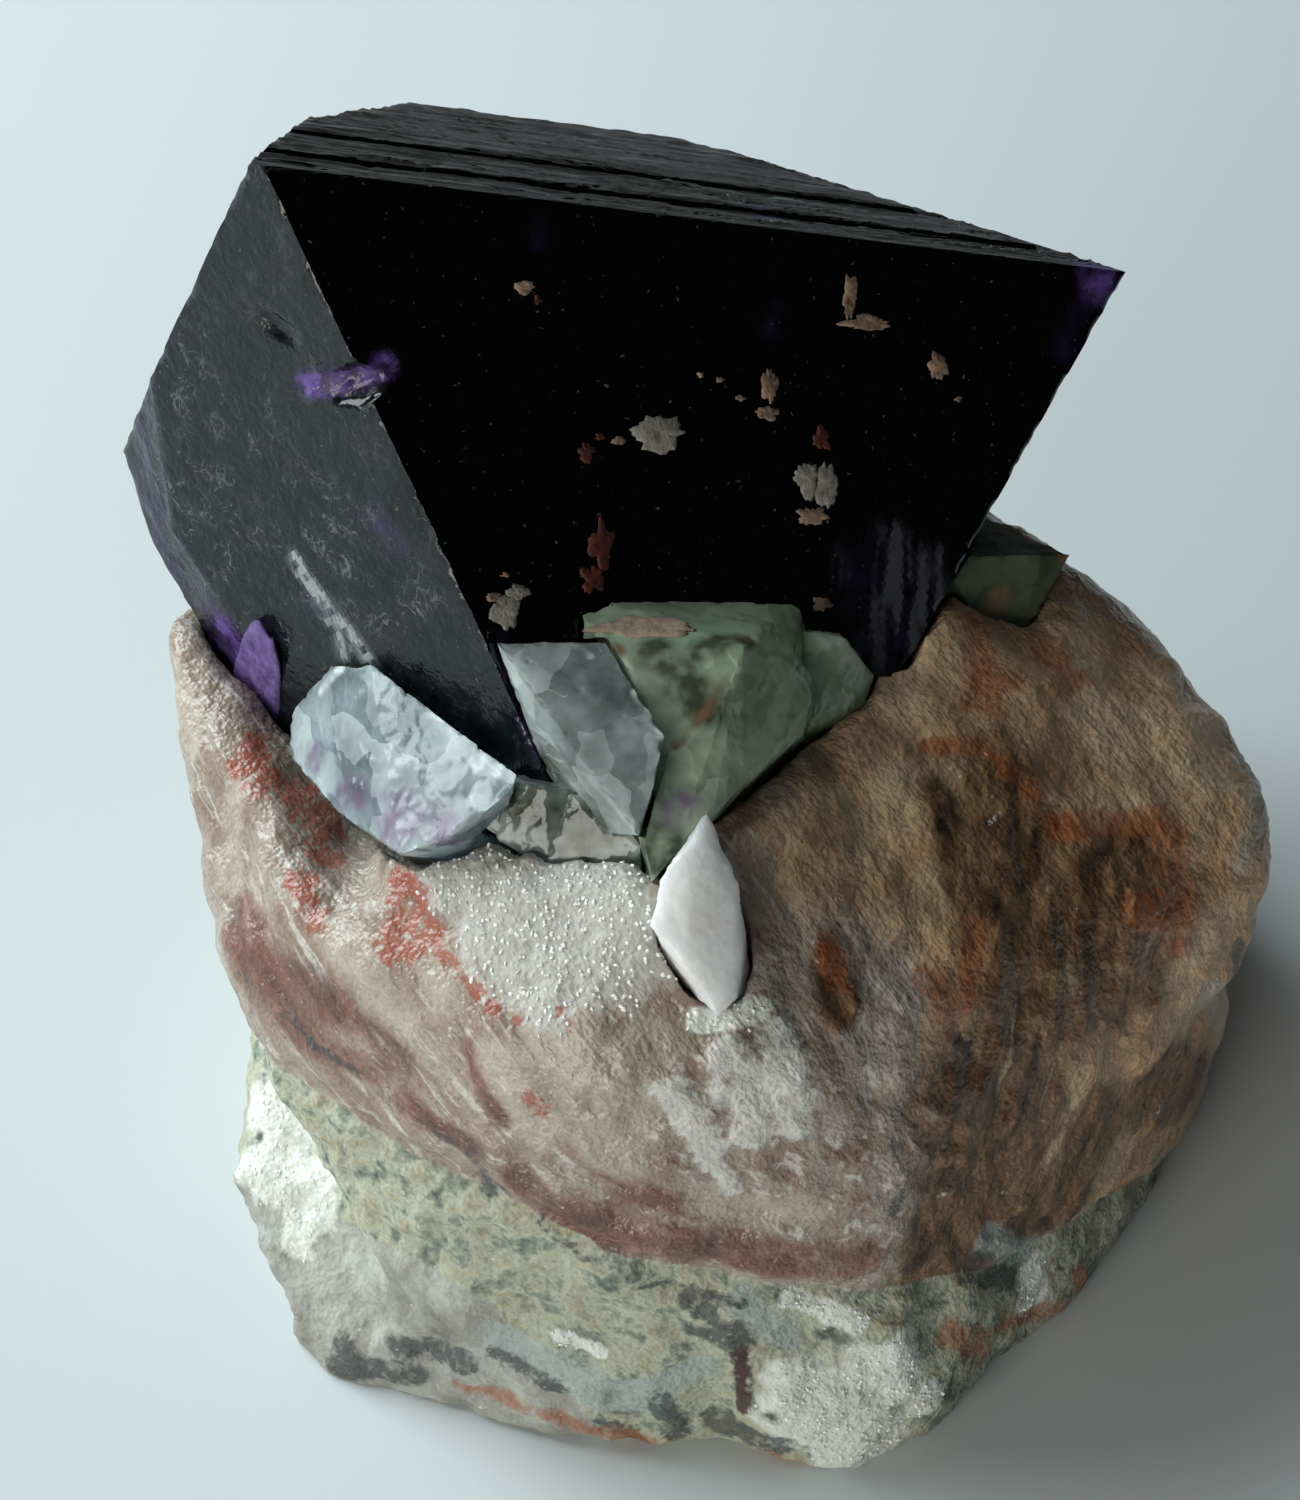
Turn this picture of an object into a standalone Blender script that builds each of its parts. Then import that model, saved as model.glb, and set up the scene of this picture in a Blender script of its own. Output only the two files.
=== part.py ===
"""A dark purple fluorite octahedron on its matrix: a hand-sized piece of salmon calcite on altered wall rock.

The row frame is in metres, +Z up, with the origin on the surface that the specimen stands on, under its middle.
Sizes below are in millimetres. X runs to the right, Y away from the side that shows the large dark face.
"""

import math

import bmesh
import bpy
from mathutils import Euler, Matrix, Vector, noise

# Driving dimensions, in millimetres and degrees
MM = 0.001
GAP = 0.3  # between two pieces that touch
TO_ORIGIN = Vector((1.1, -0.6, 0.0))  # from the frame that the corners below are given in to the row frame
OCTAHEDRON_EDGE = 54.0
OCTAHEDRON_CENTRE = Vector((-10.7, 14.0, 31.9))
OCTAHEDRON_TILT = (14.04, -23.49, 7.28)  # about X, Y and Z; the crystal then stands near upright on its point
FACE_DISTANCE = OCTAHEDRON_EDGE / math.sqrt(6)  # from the centre to each face of a perfect octahedron

ROCK_CELL = 1.15  # size of the rock's remeshed cells
ROCK_SMOOTHING = 3
ROCK_TRIANGLES = 7600
ROCK_LUMP = 1.1  # height of the broad lumps on broken rock
ROCK_CHIP = 0.55  # height of the small chips
CONTACT_GROOVE = 1.0  # depth of the open seam between the calcite and the wall rock
CONTACT_HALF_WIDTH = 0.9

# The seam between the calcite above and the wall rock below dips to the right and to the front
CONTACT_POINT = Vector((-5.6, -31.3, 17.6))
CONTACT_NORMAL = Vector((0.27, 0.29, 0.92)).normalized()

# Colours, linear, with roughness
FINISHES = {
    "fluorite_octahedron": ((0.012, 0.006, 0.022), 0.18),
    "green_fluorite": ((0.16, 0.24, 0.17), 0.2),
    "clear_fluorite": ((0.36, 0.42, 0.42), 0.15),
    "pale_fluorite": ((0.45, 0.52, 0.55), 0.3),
    "small_green_octahedron": ((0.09, 0.15, 0.09), 0.2),
    "white_calcite_blade": ((0.72, 0.7, 0.66), 0.6),
    "matrix": ((0.46, 0.3, 0.21), 0.6),
}

# Corners of the rock's blocks. Each block is the convex body through its corners, and the rock is all of them grown
# together. The first corners of each follow what the front shows, the rest close it behind and below.
CALCITE_CENTRE = [
    (-17.5, -16.5, 34.2), (-4.5, -21.6, 36.2), (0.6, -17.4, 36.8), (9.1, -4.2, 34.9),
    (16.3, 0.3, 33.0), (20.5, 10.1, 33.2), (25.8, 5.6, 31.1), (28.8, 0.8, 29.1),
    (32.6, -4.8, 26.4), (32.3, -8.4, 24.2), (31.2, -11.6, 18.2), (18.4, -17.0, 26.9),
    (-6.6, -28.4, 31.0), (4.0, -27.4, 30.2), (9.0, -29.5, 22.2), (-14.4, -27.7, 20.6),
    (-5.6, -31.3, 17.0), (3.2, -31.8, 15.0), (9.7, -29.7, 13.8),
    (-21.5, -19.7, 29.0), (-24.0, -19.8, 20.5),
    (-16.0, 18.0, 26.5), (-4.0, 27.0, 28.0), (8.0, 28.0, 27.0), (14.0, 22.0, 25.0), (20.0, 17.0, 25.0),
    (26.5, 13.0, 23.5),
    (-22.0, 14.0, 8.0), (-6.0, 30.0, 8.0), (14.0, 31.0, 8.0), (28.0, 17.0, 10.0), (31.0, 6.0, 20.0),
]
CALCITE_LEFT = [
    (-32.6, 3.5, 34.4), (-31.8, -1.4, 31.2), (-29.8, -6.5, 28.9), (-30.1, -10.2, 25.3),
    (-28.7, -14.1, 22.8), (-23.6, -12.3, 30.4), (-21.5, -19.7, 29.0), (-24.0, -19.8, 21.5),
    (-24.9, -6.0, 31.0), (-27.0, 12.0, 30.5), (-18.0, 18.0, 26.0), (-24.0, 16.0, 8.0),
    (-29.0, 3.0, 14.0), (-8.0, -5.0, 18.0),
]
SHELF_LUMP = [
    (11.4, -1.2, 36.6), (13.0, 1.0, 37.4), (13.6, 3.4, 36.6), (10.6, -3.4, 34.6), (14.6, 1.4, 35.0),
    (14.8, 3.6, 35.4), (10.0, 0.0, 30.0), (16.0, 5.0, 30.0), (13.0, -3.0, 31.0),
]
WALL_ROCK = [
    (-28.8, -13.8, 22.6), (-25.9, -18.8, 18.6), (-22.4, -22.8, 16.4), (-18.3, -26.2, 14.6),
    (-14.9, -28.6, 11.8), (-9.6, -30.2, 6.4), (-4.6, -31.8, 1.0), (3.6, -32.6, 1.0),
    (1.0, -31.7, 14.6), (10.0, -29.9, 13.0), (-24.0, -19.9, 21.5), (-14.4, -27.6, 20.0), (-5.6, -31.0, 16.5),
    (-15.5, -28.0, -1.0), (-9.3, -29.6, -1.0), (-4.6, -32.2, -1.0),
    (-24.0, 12.0, 12.0), (-4.0, 26.0, 6.0), (22.0, 18.0, 6.0), (24.0, -14.0, 10.0),
]
WHITE_FOOT = [
    (1.4, -31.8, 13.0), (10.2, -30.2, 12.0), (12.3, -31.4, 3.7), (7.6, -34.0, -1.0),
    (3.6, -33.0, -1.0), (12.9, -30.9, -1.0), (4.0, -10.0, 10.0), (14.0, -12.0, -1.0), (0.0, -14.0, -1.0),
]
WHITE_LUMP = [
    (-27.2, -12.2, 10.6), (-29.0, -17.0, 7.1), (-28.4, -14.8, 9.0), (-26.0, -22.9, 2.6), (-23.2, -27.0, -1.0),
    (-18.6, -25.7, 6.2), (-17.0, -27.6, -1.0), (-9.3, -29.3, -1.0), (-12.0, -28.6, 4.0),
    (-26.0, 2.0, 12.0), (-28.0, 0.0, -1.0), (-10.0, -6.0, 12.0), (-6.0, -10.0, -1.0),
]
RIGHT_FLANK = [
    (12.9, -31.0, -1.0), (22.0, -20.6, -1.0), (26.3, -14.5, -1.0), (31.4, -6.2, -1.0),
    (16.0, -26.4, 11.8), (21.8, -19.6, 17.1), (31.0, -9.0, 16.0), (30.0, 8.0, 8.0), (24.0, 19.0, -1.0),
    (10.0, -14.0, 20.0), (9.0, -29.0, 14.0), (4.0, 10.0, -1.0),
]
BACK_FOOT = [
    (-25.0, 10.0, -1.0), (-16.0, 22.0, -1.0), (2.0, 29.0, -1.0), (18.0, 27.0, -1.0), (29.0, 8.0, -1.0),
    (-23.0, 12.0, 16.0), (-6.0, 27.0, 16.0), (14.0, 28.0, 16.0), (-27.0, -8.0, -1.0), (10.0, -25.0, -1.0),
    (-4.0, -29.0, -1.0),
]
ROCK_BLOCKS = (CALCITE_CENTRE, CALCITE_LEFT, SHELF_LUMP, WALL_ROCK, WHITE_FOOT, WHITE_LUMP, RIGHT_FLANK, BACK_FOOT)

# Corners of the small crystals, front ones first
CLEAR_CORNERS = [
    (-12.3, -10.3, 44.2), (-6.4, -9.5, 43.4), (-3.2, -15.3, 42.0), (-3.8, -17.7, 40.8), (-4.6, -20.0, 39.3),
    (-7.5, -16.6, 39.6), (-10.7, -12.9, 41.6), (-9.5, -4.5, 38.0), (-4.2, -12.5, 33.0), (-9.0, -14.0, 33.5),
]
GREEN_CORNERS = [
    (-6.2, -10.2, 43.4), (1.1, -9.6, 43.3), (-2.6, -14.1, 40.3), (3.9, -8.0, 40.9), (5.0, -8.9, 38.5),
    (4.4, -10.6, 37.6), (1.0, -15.3, 38.3), (-0.6, -17.1, 38.2), (-2.7, -19.6, 37.2), (-3.9, -20.6, 36.4),
    (-9.0, -5.0, 43.6), (4.6, -1.0, 39.2), (2.0, -8.0, 30.0), (-5.0, -14.0, 31.0), (5.0, -6.0, 32.0),
]
LILAC_LOBE_CORNERS = [
    (3.3, -4.6, 40.0), (7.0, -4.2, 38.7), (8.7, -4.3, 36.0), (8.1, -6.0, 35.2), (5.0, -9.5, 37.2),
    (2.4, -9.0, 40.2), (3.0, -7.0, 31.0), (8.0, -4.0, 31.0), (6.0, 0.0, 36.0),
]
PALE_CORNERS = [
    (-24.5, -4.9, 33.4), (-21.9, -5.3, 37.7), (-19.5, -6.9, 39.3), (-15.3, -11.0, 39.0), (-11.2, -15.4, 39.2),
    (-11.3, -16.2, 38.9), (-14.8, -17.9, 36.9), (-17.5, -17.5, 35.2), (-21.4, -12.7, 33.7), (-24.6, -7.0, 32.5),
    (-13.0, -14.0, 30.5), (-22.0, -6.0, 28.5), (-18.0, -12.0, 29.0),
]
BLADE_CORNERS = [
    (-1.0, -18.0, 39.0), (0.7, -21.4, 37.2), (0.9, -24.4, 34.9), (0.5, -26.0, 33.2), (-0.4, -26.9, 32.8),
    (-2.4, -25.6, 35.8), (-3.9, -24.2, 37.0), (-3.5, -22.2, 38.2), (-1.4, -19.7, 39.5),
    (-1.0, -19.0, 31.0), (1.5, -22.0, 29.5), (-3.0, -22.0, 31.0),
]
CLEAR_FRAGMENTS = [
    [(-14.6, -13.9, 37.1), (-13.2, -14.2, 38.0), (-11.9, -14.6, 38.3), (-12.2, -16.2, 35.1), (-14.4, -14.8, 36.0),
     (-11.0, -9.0, 33.0), (-13.0, -12.0, 32.0)],
    [(-12.4, -14.2, 38.0), (-9.9, -15.6, 38.3), (-7.6, -15.8, 38.2), (-9.4, -17.9, 34.2), (-12.4, -16.2, 35.0),
     (-7.0, -10.0, 34.0), (-10.0, -12.0, 31.0)],
    [(-8.4, -15.8, 38.2), (-6.2, -16.6, 38.4), (-4.5, -18.2, 36.6), (-4.5, -19.2, 34.2), (-7.3, -19.0, 34.0),
     (-9.7, -17.9, 34.6), (-4.5, -12.0, 36.0), (-6.0, -13.0, 31.0)],
]
SMALL_OCTAHEDRON_EDGE = 8.5
SMALL_OCTAHEDRON_TIP = Vector((20.8, 6.8, 35.2))  # the corner that stands free at the right
SMALL_OCTAHEDRON_TILT = (24.9, -24.4, 2.8)


def face_normal(x, y, z):
    """One of the eight octahedral face directions, in the crystal's own axes."""
    return Vector((x, y, z)).normalized()


FRONT = face_normal(1, -1, 1)
LEFT = face_normal(-1, -1, 1)
TOP = face_normal(1, 1, 1)
BACK_LEFT = face_normal(-1, 1, 1)
BACK = face_normal(-1, 1, -1)
LOWER_FACES = [face_normal(1, -1, -1), face_normal(-1, -1, -1), face_normal(1, 1, -1)]


def clear_scene():
    for obj in list(bpy.data.objects):
        bpy.data.objects.remove(obj)


def octahedron_place():
    return Matrix.Translation(OCTAHEDRON_CENTRE) @ Euler([math.radians(a) for a in OCTAHEDRON_TILT]).to_matrix().to_4x4()


def placed(faces, place):
    """Faces as (normal, distance from the origin), moved from a crystal's own axes to the row frame."""
    turned = []
    for normal, distance in faces:
        point = place @ (normal * distance)
        world = (place.to_3x3() @ normal).normalized()
        turned.append((world, world.dot(point)))
    return turned


def hull(corners):
    body = bmesh.new()
    for corner in corners:
        body.verts.new(corner)
    made = bmesh.ops.convex_hull(body, input=body.verts)
    loose = [v for v in made["geom_interior"] if isinstance(v, bmesh.types.BMVert)]
    bmesh.ops.delete(body, geom=loose, context="VERTS")
    bmesh.ops.recalc_face_normals(body, faces=body.faces)
    return body


def faces_of_hull(corners):
    body = hull(corners)
    body.normal_update()
    faces = [(face.normal.copy(), face.normal.dot(face.verts[0].co)) for face in body.faces]
    body.free()
    return faces


def body_inside(faces, grow=0.0):
    """The convex body that lies behind every face, each face moved outwards by grow."""
    body = bmesh.new()
    bmesh.ops.create_cube(body, size=400.0)
    for normal, distance in faces:
        cut = bmesh.ops.bisect_plane(
            body,
            geom=body.verts[:] + body.edges[:] + body.faces[:],
            dist=1e-4,
            plane_co=normal * (distance + grow),
            plane_no=normal,
            clear_outer=True,
        )
        rim = [e for e in cut["geom_cut"] if isinstance(e, bmesh.types.BMEdge)]
        if rim:
            bmesh.ops.contextual_create(body, geom=rim)
    bmesh.ops.dissolve_degenerate(body, dist=1e-3, edges=body.edges)
    bmesh.ops.recalc_face_normals(body, faces=body.faces)
    return body


def to_object(name, body, helper=False):
    """A bmesh in millimetres as an object in metres. A helper is a cutter or a piece that is joined to another."""
    body.transform(Matrix.Scale(MM, 4))
    mesh = bpy.data.meshes.new(name)
    body.to_mesh(mesh)
    body.free()
    obj = bpy.data.objects.new(name, mesh)
    bpy.context.scene.collection.objects.link(obj)
    if helper:
        obj.hide_render = True
        obj.display_type = "WIRE"
    return obj


def settle_modifiers(obj):
    """Replaces the object's mesh by what its modifiers make of it."""
    bpy.context.view_layer.update()
    graph = bpy.context.evaluated_depsgraph_get()
    mesh = bpy.data.meshes.new_from_object(obj.evaluated_get(graph))
    obj.modifiers.clear()
    obj.data = mesh
    return obj


def combine(obj, others, operation):
    for other in others:
        boolean = obj.modifiers.new(operation.lower(), "BOOLEAN")
        boolean.operation = operation
        boolean.solver = "EXACT"
        boolean.object = other
        settle_modifiers(obj)
        bpy.data.objects.remove(other)
    return obj


def keep_largest_body(obj):
    """A Boolean can leave loose chips beside the main body, and they are dropped."""
    body = bmesh.new()
    body.from_mesh(obj.data)
    bmesh.ops.remove_doubles(body, verts=body.verts, dist=2e-6)
    left = set(body.verts)
    groups = []
    while left:
        group = {left.pop()}
        edge = list(group)
        while edge:
            linked = {e.other_vert(v) for v in edge for e in v.link_edges} & left
            left -= linked
            group |= linked
            edge = list(linked)
        groups.append(group)
    groups.sort(key=len, reverse=True)
    for group in groups[1:]:
        bmesh.ops.delete(body, geom=list(group), context="VERTS")
    body.to_mesh(obj.data)
    body.free()
    return obj


def finish(obj, smooth=False):
    colour, roughness = FINISHES[obj.name]
    material = bpy.data.materials.new(obj.name)
    material.use_nodes = True
    shader = material.node_tree.nodes["Principled BSDF"]
    shader.inputs["Base Color"].default_value = (*colour, 1.0)
    shader.inputs["Roughness"].default_value = roughness
    shader.inputs["Metallic"].default_value = 0.0
    obj.data.materials.clear()
    obj.data.materials.append(material)
    if smooth:
        obj.data.shade_smooth()
    return obj


# The large octahedron

BACK_FACE_DISTANCE = 0.6  # the crystal is flattened on its back face, which stopped growing against the rock
BACK_LEFT_DISTANCE = FACE_DISTANCE + 0.7
BROKEN_CORNER = (face_normal(-0.246, 0.797, 0.551), 24.4)  # where the back top corner is broken off
CHIP_CORNERS = [  # a small bite out of the near edge, in the row frame
    (-20.0, -2.9, 58.1), (-18.7, -4.5, 55.4), (-19.3, -2.0, 55.8), (-23.0, -0.6, 54.9), (-21.9, -1.7, 53.4),
    (-20.4, -2.9, 53.8), (-17.8, -2.2, 56.4), (-17.7, -2.9, 55.7),
]
LEFT_BREAKS = [  # the thin purple bevel along the lower left, in an upper and a lower stretch
    (face_normal(-0.76, -0.362, 0.539), 23.63),
    (face_normal(-0.749, -0.505, 0.429), 22.02),
]
TERRACES = [  # height above the top face, and how far each is set back from the front edge and the right tip
    (0.3, 3.4, 1.6),
    (0.55, 8.5, 3.2),
]


def octahedron_faces(top_distance=FACE_DISTANCE, front_distance=FACE_DISTANCE, right_distance=None):
    faces = [
        (FRONT, front_distance),
        (LEFT, FACE_DISTANCE),
        (TOP, top_distance),
        (BACK_LEFT, BACK_LEFT_DISTANCE),
        (BACK, BACK_FACE_DISTANCE),
        BROKEN_CORNER,
        *LEFT_BREAKS,
    ]
    faces += [(normal, FACE_DISTANCE) for normal in LOWER_FACES]
    if right_distance is not None:
        faces.append((LOWER_FACES[2], right_distance))
    return placed(faces, octahedron_place())


def make_octahedron():
    crystal = to_object("fluorite_octahedron", body_inside(octahedron_faces()))
    terraces = [
        to_object(
            "terrace",
            body_inside(octahedron_faces(FACE_DISTANCE + rise, FACE_DISTANCE - back, FACE_DISTANCE - side)),
            helper=True,
        )
        for rise, back, side in TERRACES
    ]
    combine(crystal, terraces, "UNION")
    return finish(combine(crystal, [to_object("chip", hull(CHIP_CORNERS), helper=True)], "DIFFERENCE"))


def dark_face():
    """The large dark face and the left face, as seen by a crystal that grew against them."""
    front, left = placed([(FRONT, FACE_DISTANCE), (LEFT, FACE_DISTANCE)], octahedron_place())
    return (-front[0], -front[1] - GAP), (-left[0], -left[1] - GAP)


# The smaller crystals

def small_crystal_faces():
    against_front, against_left = dark_face()
    green = faces_of_hull(GREEN_CORNERS) + [against_front]
    lobe = faces_of_hull(LILAC_LOBE_CORNERS) + [against_front]
    clear = faces_of_hull(CLEAR_CORNERS) + [against_front]
    fragments = [faces_of_hull(corners) for corners in CLEAR_FRAGMENTS]
    pale = faces_of_hull(PALE_CORNERS) + [against_left]
    blade = faces_of_hull(BLADE_CORNERS)
    turn = Euler([math.radians(a) for a in SMALL_OCTAHEDRON_TILT]).to_matrix().to_4x4()
    tip = Matrix.Translation(Vector((-SMALL_OCTAHEDRON_EDGE / math.sqrt(2), 0.0, 0.0)))
    place = Matrix.Translation(SMALL_OCTAHEDRON_TIP) @ turn @ tip
    distance = SMALL_OCTAHEDRON_EDGE / math.sqrt(6)
    small = placed([(normal, distance) for normal in [FRONT, LEFT, TOP, BACK_LEFT, BACK] + LOWER_FACES], place)
    return {
        "green_fluorite": [green, lobe],
        "clear_fluorite": [clear, *fragments],
        "pale_fluorite": [pale],
        "white_calcite_blade": [blade],
        "small_green_octahedron": [small],
    }


def make_small_crystals(faces):
    made = {}
    for name, bodies in faces.items():
        first, *others = bodies
        obj = to_object(name, body_inside(first))
        combine(obj, [to_object("lobe", body_inside(other), helper=True) for other in others], "UNION")
        combine(obj, [to_object("space", body_inside(octahedron_faces(), GAP), helper=True)], "DIFFERENCE")
        made[name] = obj
    # The clear crystal grew over the green one, and the blade stands clear of both
    for winner, loser in (
        ("clear_fluorite", "green_fluorite"),
        ("clear_fluorite", "white_calcite_blade"),
        ("green_fluorite", "white_calcite_blade"),
        ("clear_fluorite", "pale_fluorite"),
    ):
        grown = [to_object("space", body_inside(body, GAP), helper=True) for body in faces[winner]]
        combine(made[loser], grown, "DIFFERENCE")
    return [finish(keep_largest_body(obj)) for obj in made.values()]


# The rock

def broad_noise(point, size, seed):
    return noise.fractal(point / size + Vector((seed, -seed, 0.5 * seed)), 0.9, 2.0, 3)


def contact_height(point):
    """Height above the seam between calcite and wall rock; the seam itself wavers a little."""
    return (point - CONTACT_POINT).dot(CONTACT_NORMAL) + 1.2 * noise.noise(point / 11.0)


def rock_relief(point, normal):
    """How far a point of the rock stands out from its plain blocks, in millimetres."""
    above = contact_height(point)
    lumps = ROCK_LUMP * broad_noise(point, 13.0, 3.1)
    chips = ROCK_CHIP * abs(broad_noise(point, 4.2, 7.7))
    groove = CONTACT_GROOVE * max(0.0, 1.0 - abs(above) / CONTACT_HALF_WIDTH)
    share = 0.55 if above > 0 else 1.0  # calcite breaks smoother than the wall rock
    return share * (lumps + chips) - groove


def make_rock_blank():
    body = bmesh.new()
    for block in ROCK_BLOCKS:
        part = hull(block)
        mesh = bpy.data.meshes.new("block")
        part.to_mesh(mesh)
        part.free()
        body.from_mesh(mesh)
        bpy.data.meshes.remove(mesh)
    rock = to_object("matrix", body)
    remesh = rock.modifiers.new("grown together", "REMESH")
    remesh.mode = "VOXEL"
    remesh.voxel_size = ROCK_CELL * MM
    soften = rock.modifiers.new("worn edges", "SMOOTH")
    soften.iterations = ROCK_SMOOTHING
    soften.factor = 0.5
    settle_modifiers(rock)
    mesh = rock.data
    normals = [v.normal.copy() for v in mesh.vertices]
    for vertex, normal in zip(mesh.vertices, normals):
        point = vertex.co / MM
        vertex.co += normal * rock_relief(point, normal) * MM
    mesh.update()
    thin = rock.modifiers.new("fewer faces", "DECIMATE")
    triangles = sum(len(p.vertices) - 2 for p in mesh.polygons)
    thin.ratio = ROCK_TRIANGLES / triangles
    thin.use_collapse_triangulate = True
    return settle_modifiers(rock)


def make_matrix(crystal_faces):
    rock = make_rock_blank()
    ground = bmesh.new()
    bmesh.ops.create_cube(ground, size=200.0, matrix=Matrix.Translation((0.0, 0.0, -100.0)))
    cutters = [to_object("ground", ground, helper=True)]
    cutters.append(to_object("pocket", body_inside(octahedron_faces(FACE_DISTANCE + 1.0), GAP), helper=True))
    for bodies in crystal_faces.values():
        cutters += [to_object("pocket", body_inside(body, GAP), helper=True) for body in bodies]
    combine(rock, cutters, "DIFFERENCE")
    return finish(keep_largest_body(rock), smooth=False)


def main():
    clear_scene()
    crystal_faces = small_crystal_faces()
    pieces = [make_octahedron(), *make_small_crystals(crystal_faces), make_matrix(crystal_faces)]
    for piece in pieces:
        piece.data.transform(Matrix.Translation(TO_ORIGIN * MM))


main()
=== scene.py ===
"""A dark purple fluorite octahedron on its matrix, dressed for a render: etched and stepped crystal faces, clear and
green crystals that light passes through, sugary and fibrous calcite, wall rock, and iron stains."""

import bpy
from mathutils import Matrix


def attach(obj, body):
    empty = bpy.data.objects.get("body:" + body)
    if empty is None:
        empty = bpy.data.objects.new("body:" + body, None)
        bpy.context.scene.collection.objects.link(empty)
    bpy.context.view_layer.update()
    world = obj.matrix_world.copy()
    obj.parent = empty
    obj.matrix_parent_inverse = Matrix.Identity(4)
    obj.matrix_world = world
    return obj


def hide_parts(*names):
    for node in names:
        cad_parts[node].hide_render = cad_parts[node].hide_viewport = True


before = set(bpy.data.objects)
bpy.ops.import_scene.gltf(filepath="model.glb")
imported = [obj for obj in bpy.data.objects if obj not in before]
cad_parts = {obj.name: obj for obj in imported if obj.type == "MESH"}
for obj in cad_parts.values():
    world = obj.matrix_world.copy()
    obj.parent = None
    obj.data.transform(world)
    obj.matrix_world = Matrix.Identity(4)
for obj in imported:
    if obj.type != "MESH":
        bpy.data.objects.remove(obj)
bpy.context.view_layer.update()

import math

import bmesh
import bpy
import numpy as np
from bpy.props import FloatProperty, FloatVectorProperty, IntProperty, PointerProperty
from mathutils import Euler, Vector, noise
from mathutils.bvhtree import BVHTree

bl_info = {
    "name": "Fluorite Octahedron on Matrix",
    "version": (1, 0, 0),
    "blender": (4, 5, 0),
    "location": "3D View > Sidebar > Specimen",
    "description": "Dresses a fluorite octahedron on calcite and wall rock",
    "category": "Object",
}

MM = 0.001

# The photograph's camera, in the row frame. Pixels below are pixels of the 1300 x 1500 picture.
PICTURE = (1300, 1500)
CAMERA_AT = Vector((-2.9, -149.72, 174.82)) * MM
CAMERA_TILT = math.radians(45.0)
LENS = 85.0
SENSOR = 36.0

# The crystal's own axes in the row frame: corner A is the top one, B the right one and C the front one
OCTAHEDRON_TURN = Euler([math.radians(a) for a in (14.04, -23.49, 7.28)]).to_matrix()
OCTAHEDRON_CENTRE = Vector((-9.6, 13.4, 31.9)) * MM
FACE_DISTANCE = 22.05 * MM
FRONT = OCTAHEDRON_TURN @ Vector((1, -1, 1)).normalized()
LEFT = OCTAHEDRON_TURN @ Vector((-1, -1, 1)).normalized()
TOP = OCTAHEDRON_TURN @ Vector((1, 1, 1)).normalized()
ALONG_TOP_EDGE = OCTAHEDRON_TURN @ Vector((1, 0, -1)).normalized()  # from corner A to corner B
DOWN_FRONT = FRONT.cross(ALONG_TOP_EDGE).normalized()  # square to that edge, on the dark front face

# The seam between the calcite and the wall rock, as a point on it and the way up
SEAM_POINT = Vector((-5.6, -31.3, 17.6))
SEAM_UP = Vector((0.27, 0.29, 0.92)).normalized()
SEAM_FRAME = Vector((1.1, -0.6, 0.0))  # the row frame's origin in the frame that the seam's point is given in
# The way that the calcite's fibres run, on its pale front and on its brown right side
FRONT_FIBRES = Vector((0.59, -0.7, -0.4)).normalized()
SIDE_FIBRES = Vector((-0.1, -0.7, -0.7)).normalized()

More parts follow.
